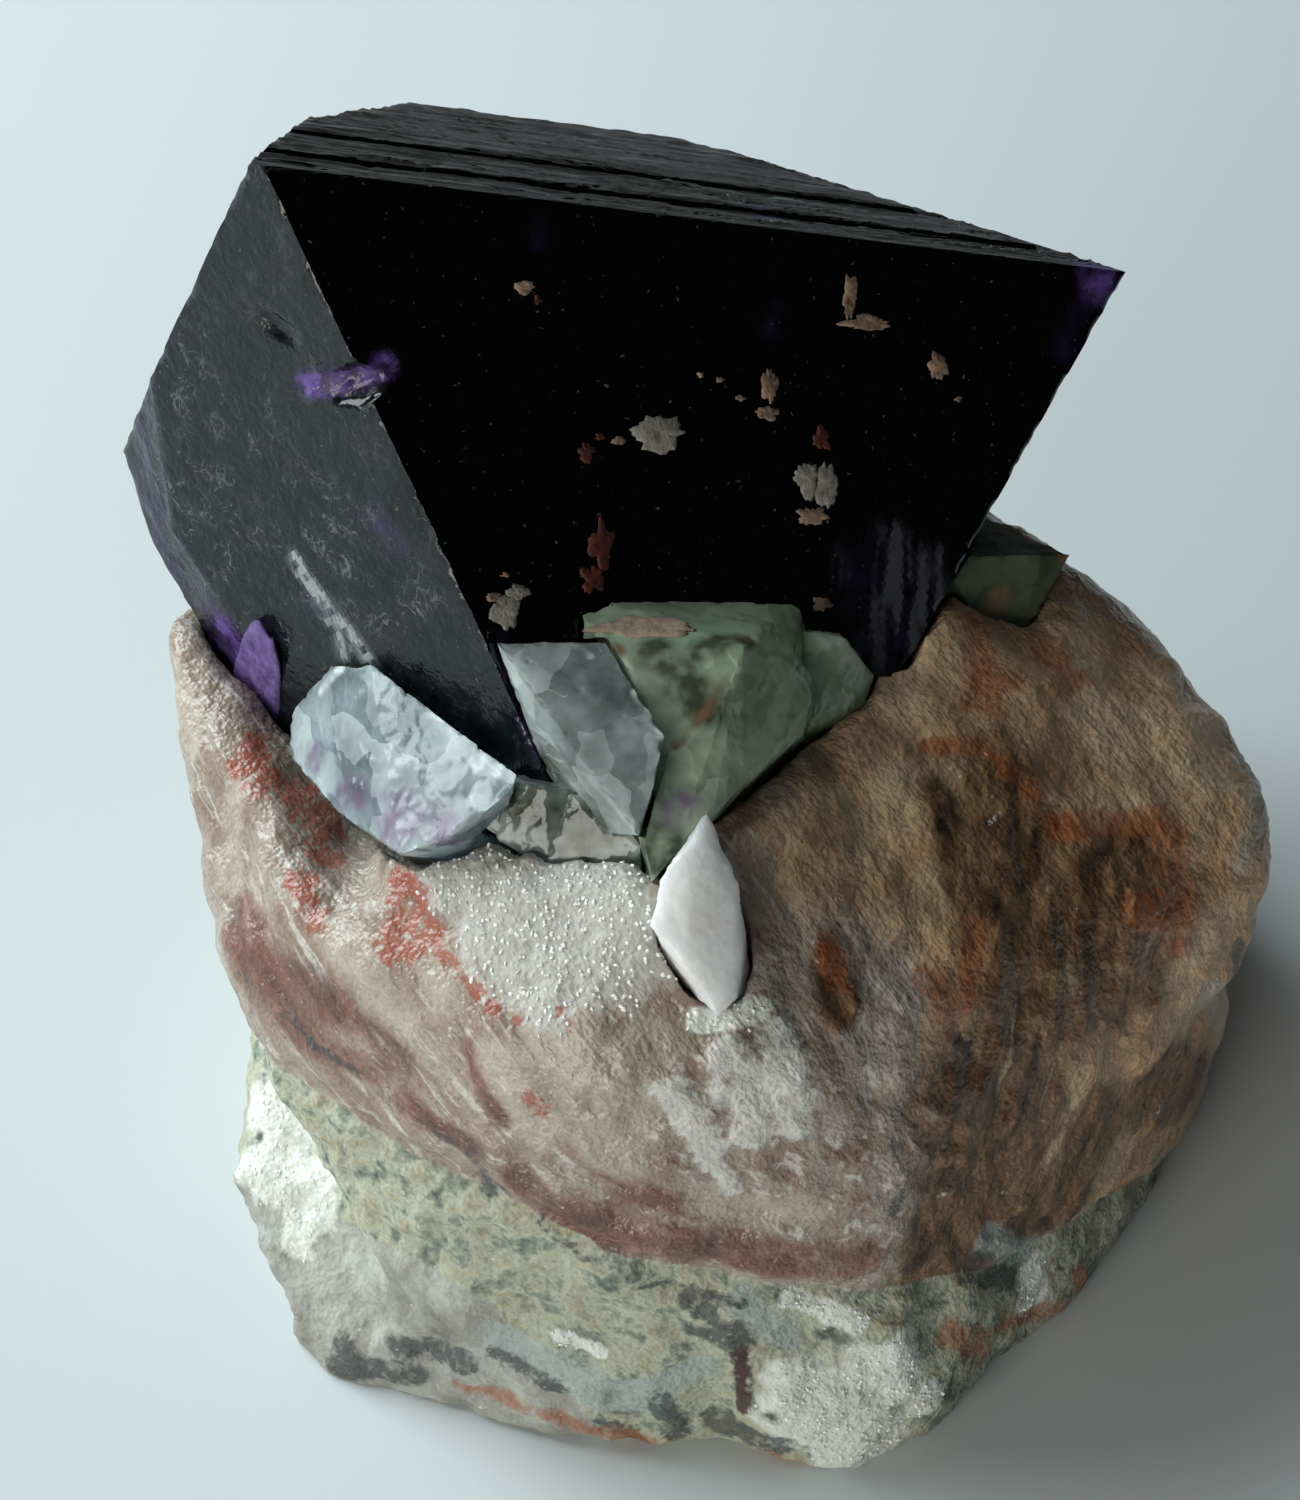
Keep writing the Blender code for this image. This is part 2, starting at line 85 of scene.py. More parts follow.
# Zones of the rock: where the photograph shows their middle, in its pixels, and their radius in millimetres
ZONES = {
    "paler": [
        (205, 630, 190, 740, 1.6), (370, 870, 450, 980, 1.8), (330, 930, 400, 1030, 1.4), (560, 1050, 3.4),
        (640, 1060, 610, 1150, 2.4), (230, 800, 225, 870, 1.5), (700, 1200, 800, 1210, 1.2),
        (500, 1060, 540, 1130, 1.6), (1240, 740, 1270, 800, 1.2), (1262, 800, 1240, 860, 1.1),
        (1210, 990, 1220, 1020, 1.1),
    ],
    "sugar": [
        (560, 925, 4.6), (480, 885, 3.0), (610, 950, 3.8), (545, 985, 2.6), (620, 905, 2.6), (445, 875, 2.0),
        (500, 940, 3.0), (590, 900, 3.0), (460, 850, 1.6),
    ],
    "white": [
        (830, 1420, 4.6), (880, 1375, 3.2), (800, 1385, 2.4), (860, 1450, 3.4), (790, 1300, 860, 1325, 0.9),
        (1032, 1272, 1.4), (1030, 1300, 1.4), (925, 1400, 1.6), (560, 1335, 600, 1350, 0.6), (290, 1115, 3.6),
        (275, 1160, 3.0), (315, 1190, 2.8), (300, 1235, 1.6), (700, 1020, 760, 1010, 0.9),
    ],
    "bluish": [
        (500, 1340, 560, 1370, 1.6), (560, 1370, 640, 1400, 1.8), (640, 1390, 700, 1370, 1.5),
        (990, 1240, 1020, 1250, 1.2), (740, 1300, 790, 1340, 1.0),
    ],
    "glassy": [
        (745, 985, 780, 1040, 1.6), (780, 1040, 790, 1120, 1.4), (670, 1090, 710, 1150, 1.2),
        (730, 1060, 755, 1130, 1.5), (715, 1165, 735, 1185, 0.7),
    ],
    "rust": [
        (258, 745, 1.2), (270, 780, 1.5), (300, 795, 1.6), (318, 822, 2.0), (325, 855, 1.4), (245, 765, 1.2),
        (300, 880, 318, 920, 0.9), (400, 890, 1.5), (410, 920, 1.7), (395, 945, 1.3), (425, 935, 1.2),
        (431, 940, 495, 1013, 0.4), (516, 1019, 0.35), (560, 1009, 0.3), (569, 1027, 0.4),
        (530, 1095, 540, 1115, 0.5),
    ],
    "red_brown": [
        (240, 930, 270, 975, 2.2), (270, 975, 330, 1010, 2.0), (250, 960, 300, 1020, 2.4),
        (300, 1030, 380, 1075, 1.0), (350, 1000, 400, 1060, 1.2), (400, 1100, 470, 1150, 0.9),
        (520, 1180, 600, 1240, 1.4), (580, 1210, 680, 1250, 1.8), (680, 1245, 860, 1262, 1.7),
        (470, 1050, 500, 1120, 0.8), (410, 900, 430, 960, 1.6), (600, 1180, 700, 1210, 1.0),
    ],
    "brown": [
        (960, 1110, 940, 1300, 4.2), (1010, 1100, 1000, 1260, 4.8), (1000, 780, 1010, 1010, 3.6),
        (1060, 870, 1060, 1010, 4.2), (1140, 880, 1130, 980, 3.8), (1150, 1080, 1190, 1090, 3.4),
        (940, 790, 960, 900, 1.2), (1100, 1120, 1060, 1200, 3.6), (830, 960, 840, 1010, 1.4),
        (900, 1300, 905, 1340, 1.0),
    ],
    "iron": [
        (975, 625, 990, 700, 1.1), (965, 700, 1010, 680, 0.8), (1040, 640, 1070, 680, 1.0),
        (1060, 690, 1080, 680, 0.7), (925, 745, 980, 742, 0.6), (980, 742, 1024, 788, 0.5),
        (1024, 788, 1060, 826, 0.6), (1060, 826, 1165, 818, 0.9), (1170, 830, 1180, 940, 1.3),
        (1140, 910, 1190, 920, 1.2), (1073, 1270, 1085, 1290, 0.7), (960, 1345, 1070, 1310, 0.7),
        (950, 1335, 985, 1350, 1.0), (830, 945, 835, 975, 0.9), (460, 1382, 560, 1415, 0.45),
        (560, 1418, 650, 1446, 0.7), (740, 1465, 800, 1475, 0.5), (930, 980, 950, 1010, 1.0),
        (975, 930, 955, 1030, 0.8), (700, 820, 740, 810, 0.5),
    ],
    # Dark specks and streaks of the rock. The thin bands, 0.2 to 0.35 mm wide, are painted shadow in the creases
    # along the seam of calcite and wall rock and beside the ridge.
    "dark": [
        (335, 1365, 410, 1378, 1.0), (400, 1345, 465, 1362, 0.9), (496, 1352, 556, 1388, 0.7),
        (345, 1345, 360, 1375, 0.8), (738, 1330, 745, 1385, 0.8), (700, 1330, 735, 1340, 0.7),
        (720, 1420, 780, 1445, 1.2), (640, 1283, 740, 1302, 0.35), (660, 1400, 680, 1430, 0.9),
        (1243, 950, 1245, 985, 0.7), (955, 1035, 968, 1055, 0.6), (1088, 1282, 1092, 1298, 0.5),
        (975, 1265, 1010, 1280, 1.0), (690, 1300, 740, 1330, 0.7), (480, 1180, 490, 1190, 0.4),
        (600, 1420, 640, 1440, 0.6), (240, 975, 330, 1052, 0.28), (330, 1052, 460, 1150, 0.22),
        (460, 1150, 560, 1240, 0.2), (560, 1242, 640, 1280, 0.25), (900, 1190, 890, 1330, 0.35),
    ],
    "maroon": [
        (738, 1350, 745, 1405, 0.6), (960, 1042, 966, 1050, 0.5),
    ],
}
LUMP_EDGE = ((267, 1054), (401, 1204), (579, 1355), (700, 1425))  # the wall rock's lower edge, over the white lump
# The ridge between the pale front and the brown right side, from its top down
RIDGE = ((740, 860), (915, 1068), (884, 1238), (898, 1348))

# Marks on the dark crystal, in the same way
ROUGH_GROUND = [(850, 560, 870, 660, 1.5), (890, 545, 900, 660, 1.9), (930, 560, 930, 610, 1.5), (840, 600, 1.0)]
CHIPPED = [(305, 385, 385, 370, 1.1), (240, 165, 0.5), (400, 470, 430, 540, 0.5)]
PIT = (268, 322, 288, 334, 0.6)
PITTED = [(190, 500, 300, 600, 4.5), (180, 380, 4.0), (320, 520, 400, 600, 3.4), (250, 420, 2.6)]
# Violet of the crystal's own colour at chips and edges; the spot at corner B (1098, 284) is painted glow of the light
# that passes through the thin corner.
VIOLET_AND_CORNER_GLOW = [
    (305, 385, 385, 370, 0.9), (1098, 284, 1.6), (225, 630, 262, 700, 1.6), (255, 690, 275, 760, 1.3),
]
FAINT_VIOLET = [
    *ROUGH_GROUND,
    (520, 190, 540, 240, 0.9), (762, 212, 770, 330, 1.0), (380, 520, 395, 540, 1.0), (1085, 300, 1060, 350, 1.2),
    (310, 600, 330, 615, 0.6), (500, 640, 540, 760, 0.6), (140, 430, 165, 590, 1.0),
]
DUST = [(296, 562, 330, 610, 0.7), (325, 605, 368, 660, 1.0), (345, 650, 1.1)]
# Marks on the small crystals: the kinds that their material knows, and where they are
MARK_KINDS = ("stain", "lilac", "rims_and_painted_light", "shade")
CRYSTAL_MARKS = {
    "green_crystals": {
        "stain": [(751, 640, 705, 712, 0.35), (705, 712, 676, 745, 0.35), (735, 800, 780, 760, 0.9),
                  (600, 640, 620, 650, 0.4)],
        "lilac": [(680, 805, 1.3)],
        # On this lobe the rim mark is painted light: it makes pale a lobe that faces away from the light.
        "rims_and_painted_light": [(835, 640, 850, 665, 1.3)],
        # The first two shade spots are painted shade on facets of the green crystal that the light falls on; the last
        # one darkens its foot.
        "shade": [(655, 655, 700, 700, 1.6), (700, 650, 740, 640, 0.9), (662, 850, 2.0)],
    },
    "clear_crystals": {
        "rims_and_painted_light": [(640, 690, 663, 735, 0.4), (663, 735, 645, 820, 0.4), (575, 645, 590, 655, 0.4)],
        "shade": [(530, 800, 600, 850, 1.8), (540, 760, 560, 790, 0.8)],
    },
    "pale_slab": {
        "lilac": [(400, 815, 2.2), (440, 830, 1.6), (355, 790, 1.8), (315, 760, 1.2)],
        "rims_and_painted_light": [(430, 700, 470, 745, 0.5), (455, 750, 515, 775, 0.8), (475, 800, 0.7), (320, 690, 345, 665, 0.4)],
    },
    "small_octahedron": {"stain": [(1000, 600, 0.9), (985, 620, 1.0), (1010, 530, 1060, 550, 0.8)]},
}

# Crusts on the crystal's faces: middle, width and height in pixels, turn in degrees, and kind
CRUSTS = [
    (660, 432, 52, 34, 8, "calcite"), (618, 440, 14, 9, 40, "clay"), (850, 300, 15, 40, 4, "clay"),
    (868, 323, 42, 13, -8, "clay"), (852, 283, 10, 12, 30, "clay"), (937, 366, 17, 26, 5, "clay"),
    (770, 385, 16, 36, 12, "clay"), (768, 412, 22, 15, 0, "clay"), (806, 478, 24, 34, 10, "calcite"),
    (826, 486, 20, 46, 0, "calcite"), (812, 516, 30, 20, -12, "clay"), (822, 440, 16, 20, 20, "rust"),
    (602, 545, 24, 46, 12, "rust"), (592, 580, 26, 30, -10, "rust"), (586, 452, 16, 20, 30, "rust"),
    (600, 437, 10, 8, 0, "rust"), (505, 612, 34, 30, 12, "calcite"), (518, 592, 22, 16, -20, "calcite"),
    (492, 596, 16, 10, 20, "clay"), (524, 288, 18, 12, 15, "clay"), (538, 300, 8, 10, 0, "rust"),
    (822, 604, 18, 16, 30, "clay"), (648, 627, 108, 20, 4, "tan"), (256, 692, 46, 130, -22, "violet"),
    (958, 399, 6, 6, 0, "clay"), (720, 380, 8, 5, 50, "clay"), (740, 398, 9, 6, 20, "clay"),
    (700, 375, 6, 6, 0, "clay"), (505, 575, 8, 5, 0, "clay"),
]
# What each crust is made of, its light and dark colour, how ragged its outline is, and its slot
CRUST_KINDS = {
    "calcite": ("leftover grey calcite", "#a6a297", "#6a665d", 0.5, "white_calcite_blade"),
    "clay": ("dried clay", "#a98c75", "#5f4c3e", 0.6, "matrix"),
    "rust": ("iron rust", "#5e2412", "#2a0d06", 0.7, "matrix"),
    "tan": ("tan calcite rind", "#c0ab97", "#8f7c6a", 0.4, "matrix"),
    "violet": ("purple fluorite flake", "#75619c", "#443068", 0.12, "fluorite_octahedron"),
}
# The rings that a crust is made of, from its foot to its top: share of its width, and height in millimetres
CRUST_RINGS = ((1.0, -0.1), (0.97, 0.04), (0.82, 0.09), (0.45, 0.12))
CRUST_SIDES = 40

# The small fluorites: CAD node, material, body colour, paler veil, the tint that light takes on inside and how
# strongly, per metre, the share of milky cloud, and the roughness
SMALL_FLUORITES = {
    "green_crystals": (
        "green_fluorite", "grey-green fluorite", "#9cb396", "#bfccb9", "#8fb89a", 110.0, 0.84, 0.12,
    ),
    "clear_crystals": ("clear_fluorite", "clear fluorite", "#a1afad", "#c8d2d0", "#c6d8d2", 60.0, 0.45, 0.08),
    "pale_slab": (
        "pale_fluorite", "pale blue-green fluorite", "#93a8ae", "#cfdadb", "#a9cdd2", 110.0, 0.5, 0.16,
    ),
    "small_octahedron": (
        "small_green_octahedron", "dark green fluorite", "#3f4d38", "#6a745e", "#5d8a68", 300.0, 0.85, 0.65,
    ),
}

# The stage: half the paper's side in metres and its roughness, the lights' name, place, side and colour, the X at
# which the room is darkest and lightest with its darkest strength, and what the camera clips
PAPER_HALF = 1.5
PAPER_ROUGHNESS = 0.9
LIGHTS = (
    ("window", (-0.48, 0.26, 0.4), 0.5, "#ecf7fa"),
    ("white wall", (-0.34, -0.54, 0.13), 0.36, "#f8f4ec"),
)
ROOM_RIGHT, ROOM_LEFT, DARK_SIDE = 0.35, -0.6, 0.03
CLIP = (0.005, 10.0)

FLUORITE_IOR = 1.434
CALCITE_IOR = 1.55
FULL_TURN = 6.283
LEAST_GRAINY = 0.4  # no loose grains where the rock is less sugary than this
SPECIMEN_DISTANCES = (140, 280)  # the specimen's nearest and farthest parts, in millimetres from the camera
SAME_POINT = 0.002 * MM
FLAT = 0.002  # radians between faces that are one crystal face
CRYSTAL_EDGE = math.radians(20)  # faces that meet at more than this have a crystal edge between them


# Small helpers

def linear(hex_colour):
    """An sRGB hex colour as linear RGBA."""
    values = [int(hex_colour[i : i + 2], 16) / 255 for i in (1, 3, 5)]
    return (*[v / 12.92 if v <= 0.04045 else ((v + 0.055) / 1.055) ** 2.4 for v in values], 1.0)


def add(tree, kind, inputs=None, stops=(), **settings):
    """A node with its settings. An input that is given a socket, or a node for its first output, is linked to it, and
    any other is set. The stops of a colour ramp are positions and hex colours."""
    node = tree.nodes.new(kind)
    for name, value in settings.items():
        setattr(node, name, value)
    for key, value in (inputs or {}).items():
        if isinstance(value, bpy.types.Node):
            value = value.outputs[0]
        if isinstance(value, bpy.types.NodeSocket):
            tree.links.new(value, node.inputs[key])
        else:
            node.inputs[key].default_value = value
    for position, _ in stops[2:]:
        node.color_ramp.elements.new(position)
    for i, (position, colour) in enumerate(stops):
        node.color_ramp.elements[i].position = position
        node.color_ramp.elements[i].color = linear(colour)
    return node


def thin_lines(tree, field, width):
    """1 along the lines where a noise field passes its middle, as curved cracks and etch marks run."""
    away = add(tree, "ShaderNodeMath", {0: field, 1: 0.5}, operation="SUBTRACT")
    away = add(tree, "ShaderNodeMath", {0: away}, operation="ABSOLUTE")
    line = add(
        tree, "ShaderNodeMapRange",
        {"Value": away, "From Min": 0.25 * width, "From Max": width, "To Min": 1.0, "To Max": 0.0},
    )
    return line


def fibre_noise(tree, where, direction, width, squeeze, detail, roughness, distortion=0.0):
    """Noise drawn out along the way that fibres or growth steps run. Its width is in millimetres."""
    turned = add(
        tree, "ShaderNodeMapping",
        {"Vector": where, "Rotation": direction.to_track_quat("Z", "Y").inverted().to_euler()},
    )
    drawn = add(tree, "ShaderNodeMapping", {"Vector": turned, "Scale": (1.0, 1.0, squeeze)})
    return add(
        tree, "ShaderNodeTexNoise",
        {
            "Vector": drawn, "Scale": 1 / (width * MM), "Detail": detail, "Roughness": roughness,
            "Distortion": distortion,
        },
    )


def new_material(name):
    """An empty node material, its tree, and the coordinates that its patterns lie on."""
    material = bpy.data.materials.new(name)
    material.use_nodes = True
    tree = material.node_tree
    tree.nodes.clear()
    return material, tree, add(tree, "ShaderNodeTexCoord").outputs["Object"]


def clear_body(material, tree, colour, hidden, gloss, bump, tint, density):
    """Finishes a fluorite: light enters it where nothing hides it, and takes on its tint on the way through."""
    enters = add(tree, "ShaderNodeMath", {0: 1.0, 1: hidden}, operation="SUBTRACT")
    surface = {"Base Color": colour, "Transmission Weight": enters, "Roughness": gloss, "Normal": bump}
    shader = add(tree, "ShaderNodeBsdfPrincipled", {**surface, "IOR": FLUORITE_IOR})
    depth = add(tree, "ShaderNodeVolumeAbsorption", {"Color": linear(tint), "Density": density})
    add(tree, "ShaderNodeOutputMaterial", {"Surface": shader, "Volume": depth})
    return material


def solid_body(material, tree, surface):
    """Finishes a material that light doesn't pass through."""
    add(tree, "ShaderNodeOutputMaterial", {"Surface": add(tree, "ShaderNodeBsdfPrincipled", surface)})
    return material


def photo_ray(px, py):
    """Where the camera stands, and the way it looks through a pixel of the picture."""
    focal = LENS / SENSOR * PICTURE[1]
    way = Vector(((px - PICTURE[0] / 2) / focal, (PICTURE[1] / 2 - py) / focal, -1.0))
    way.rotate(Euler((CAMERA_TILT, 0.0, 0.0)))
    return CAMERA_AT, way.normalized()


def seen_at(surface, px, py):
    """The point of a surface, and its normal, that the picture shows at a pixel, or the nearest one beside it."""
    eye, way = photo_ray(px, py)
    point, normal, _, _ = surface.ray_cast(eye, way)
    if point is None:
        tries = [surface.find_nearest(eye + way * step * MM) for step in range(*SPECIMEN_DISTANCES)]
        point, normal, _, _ = min(tries, key=lambda found: found[3])
    return point, normal


def on_plane(px, py, point, normal):
    """Where the picture's pixel lies on the plane through a point."""
    eye, way = photo_ray(px, py)
    return eye + way * ((point - eye).dot(normal) / way.dot(normal))


def beside_line(points, start, end):
    """How far each point lies to the right of the picture's line from start to end, in millimetres."""
    eye, first = photo_ray(*start)
    _, second = photo_ray(*end)
    normal = np.array(first.cross(second).normalized())
    return (points - np.array(eye)) @ normal / MM


def merged(node):
    """A CAD node's mesh with its loose triangles joined, in a bmesh."""
    body = bmesh.new()
    body.from_mesh(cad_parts[node].data)
    bmesh.ops.remove_doubles(body, verts=body.verts, dist=SAME_POINT)
    return body


def surface_of(*nodes):
    """What a ray can hit of some CAD nodes."""
    corners, triangles = [], []
    for node in nodes:
        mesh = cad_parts[node].data
        first = len(corners)
        corners += [vertex.co.copy() for vertex in mesh.vertices]
        triangles += [[first + i for i in polygon.vertices] for polygon in mesh.polygons]
    return BVHTree.FromPolygons(corners, triangles)


def new_object(name, data):
    obj = bpy.data.objects.new(name, data)
    bpy.context.scene.collection.objects.link(obj)
    return obj


def new_mesh(name, body):
    """A bmesh as a mesh. The bmesh is used up."""
    mesh = bpy.data.meshes.new(name)
    body.to_mesh(mesh)
    body.free()
    return mesh


def settled(obj):
    """The object with its modifiers made part of its mesh."""
    bpy.context.view_layer.update()
    mesh = bpy.data.meshes.new_from_object(obj.evaluated_get(bpy.context.evaluated_depsgraph_get()))
    obj.modifiers.clear()
    obj.data = mesh
    return obj


def refined(body, longest):
    """Flat faces of a crystal cut into small triangles, so that relief can be put on them."""
    bmesh.ops.dissolve_limit(body, angle_limit=FLAT, verts=body.verts, edges=body.edges)
    bmesh.ops.triangulate(body, faces=body.faces)
    while True:
        long_edges = [edge for edge in body.edges if edge.calc_length() > longest]
        if not long_edges:
            return body
        bmesh.ops.subdivide_edges(body, edges=long_edges, cuts=1)
        wide = [face for face in body.faces if len(face.verts) > 3]
        # Cut along their shorter diagonals, faces come out square enough for this to end
        bmesh.ops.triangulate(body, faces=wide, quad_method="SHORT_EDGE")


def values_of(items, name):
    """A vector of each vertex or face of a mesh, as rows."""
    rows = np.empty(len(items) * 3, np.float32)
    items.foreach_get(name, rows)
    return rows.reshape(-1, 3).astype(float)


def noise_at(points, size, seed, octaves=3):
    """Fractal noise, about -1 to 1, at points in metres, with its features about size millimetres apart."""
    scaled = points / (size * MM) + np.array((seed, -0.7 * seed, 0.4 * seed))
    return np.array([noise.fractal(p, 0.9, 2.0, octaves) for p in scaled])


def drawn_out(points, direction, share=0.86):
    """Points with the way along a direction made shorter, so that noise at them is drawn out along it."""
    return points - share * (points @ np.array(direction))[:, None] * np.array(direction)


def smoothstep(low, high, values):
    share = np.clip((values - low) / (high - low), 0.0, 1.0)
    return share * share * (3 - 2 * share)


def zone_values(points, surface, spots):
    """How much each point belongs to a zone, 0 to 1, with a soft edge that wavers. A spot is a pixel and a radius in
    millimetres, or the two end pixels of a band and half its width."""
    values = np.zeros(len(points))
    waver = noise_at(points, 2.2, 11.0)
    for *pixels, radius in spots:
        start = np.array(seen_at(surface, *pixels[:2])[0])
        along = np.array(seen_at(surface, *pixels[-2:])[0]) - start
        share = np.clip((points - start) @ along / max(along @ along, 1e-12), 0.0, 1.0)
        far = np.linalg.norm(points - start - share[:, None] * along, axis=1) / (radius * MM) + 0.3 * waver
        values = np.maximum(values, 1.0 - smoothstep(0.4, 1.3, far))
    return values


def set_attribute(mesh, name, values, domain="POINT"):
    attribute = mesh.attributes.new(name, "FLOAT", domain)
    attribute.data.foreach_set("value", np.asarray(values, np.float32))


def dress(obj, material, slot_name, *nodes):
    """Gives a finished piece its material, and its place in the frame."""
    obj.data.materials.clear()
    obj.data.materials.append(material)
    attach(obj, "root")
    if nodes:
        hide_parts(*nodes)


# Materials

def deep_purple_fluorite(settings):
    """Fluorite so deeply coloured that only its thinnest corners let violet light through. Its octahedral faces are
    glossy but finely etched, its top is dulled by growth steps, and its cleavages are grey with dust."""
    material, tree, where = new_material("deep purple fluorite")
    left, top, violet, dust, pitted = (
        add(tree, "ShaderNodeAttribute", attribute_name=name).outputs["Fac"]
        for name in ("left_face", "top_face", "violet", "dust", "pitted")
    )
    # Etch marks: short curly lines of two sizes, a swell wide. Gaps break them up. Dust specks lie on every face, and
    # a fine unevenness under all of it. The specks are coarser than the real ones, so that they show.
    wide, small, gaps, dots, fine = (
        add(
            tree, "ShaderNodeTexNoise",
            {"Vector": where, "Scale": 1 / (size * MM), "Detail": detail, "Roughness": rough, "Distortion": curl},
        )
        for size, detail, rough, curl in (
            (2.9, 3.0, 0.5, 1.4), (1.4, 2.0, 0.5, 1.0), (2.4, 3.0, 0.7, 0.0), (0.38, 2.0, 0.5, 0.0),
            (0.67, 2.0, 0.6, 0.0),
        )
    )
    etched = add(
        tree, "ShaderNodeMath", {0: thin_lines(tree, wide, 0.02), 1: thin_lines(tree, small, 0.016)},
        operation="MAXIMUM",
    )
    kept = add(tree, "ShaderNodeMapRange", {"Value": gaps, "From Min": 0.5, "From Max": 0.6})
    for share in (kept, pitted, settings.etching):
        etched = add(tree, "ShaderNodeMath", {0: etched, 1: share}, operation="MULTIPLY")
    # Streaks of dust lie in the top's growth steps, along the near edge
    streaks = fibre_noise(tree, where, ALONG_TOP_EDGE, 0.9, 0.1, 3.0, 0.7)
    light = add(tree, "ShaderNodeMapRange", {"Value": streaks, "From Min": 0.55, "From Max": 0.8, "To Max": 0.6})
    marks = add(tree, "ShaderNodeMapRange", {"Value": dots, "From Min": 0.69, "From Max": 0.76, "To Max": 0.5})
    for pattern, share in ((etched, 0.75), (light, top), (dust, 0.95)):
        shown = add(tree, "ShaderNodeMath", {0: pattern, 1: share}, operation="MULTIPLY")
        marks = add(tree, "ShaderNodeMath", {0: marks, 1: shown}, operation="MAXIMUM")
    # The left face is blue-grey: the grey of its etching, with the window's sheen on it painted into the colour.
    etched_grey_and_painted_sheen = add(
        tree, "ShaderNodeValToRGB", {"Fac": gaps},
        stops=((0.35, "#141a1c"), (0.5, "#242e31"), (0.62, "#2b2a36"), (0.72, "#39474a")),
    )
    satin = add(tree, "ShaderNodeMapRange", {"Value": gaps, "From Min": 0.35, "From Max": 0.7, "To Max": 0.5})
    # What lies on the clear crystal: where, in what colour, how much it hides of the colour below, how much light it
    # keeps from entering the crystal, and how much it dulls the gloss
    coats = (
        (left, etched_grey_and_painted_sheen, 0.85, 0.45, satin),
        (top, linear("#2a2826"), 0.9, 0.75, 0.9),
        # Violet: the crystal's own colour, and at corner B a painted glow of light through the thin corner.
        (violet, linear("#6e54a0"), 1.0, 0.75, 0.3),
        (marks, linear("#9aa3a3"), 1.0, 1.0, 1.0),
    )
    colour, veiled, dulled = linear("#0b0812"), 0.0, 0.0
    for place, tone, *shares in coats:
        hidden, veil, dull = (
            add(tree, "ShaderNodeMath", {0: place, 1: share}, operation="MULTIPLY") for share in shares
        )
        colour = add(tree, "ShaderNodeMix", {0: hidden, 6: colour, 7: tone}, data_type="RGBA").outputs[2]
        veiled = add(tree, "ShaderNodeMath", {0: veiled, 1: veil}, operation="MAXIMUM")
        dulled = add(tree, "ShaderNodeMath", {0: dulled, 1: dull}, operation="MAXIMUM")
    gloss = add(tree, "ShaderNodeMapRange", {"Value": dulled, "To Min": settings.gloss, "To Max": 0.62})
    uneven = add(tree, "ShaderNodeMapRange", {"Value": left, "To Min": 0.25, "To Max": 1.0})
    height = etched
    for pattern, share in ((fine, uneven), (streaks, top)):
        height = add(tree, "ShaderNodeMath", {0: pattern, 1: share, 2: height}, operation="MULTIPLY_ADD")
    bump = add(tree, "ShaderNodeBump", {"Height": height, "Strength": 0.3, "Distance": 0.4 * MM})
    # Light that passes through loses all but a little violet
    return clear_body(material, tree, colour, veiled, gloss, bump, "#8a2fc8", settings.depth)


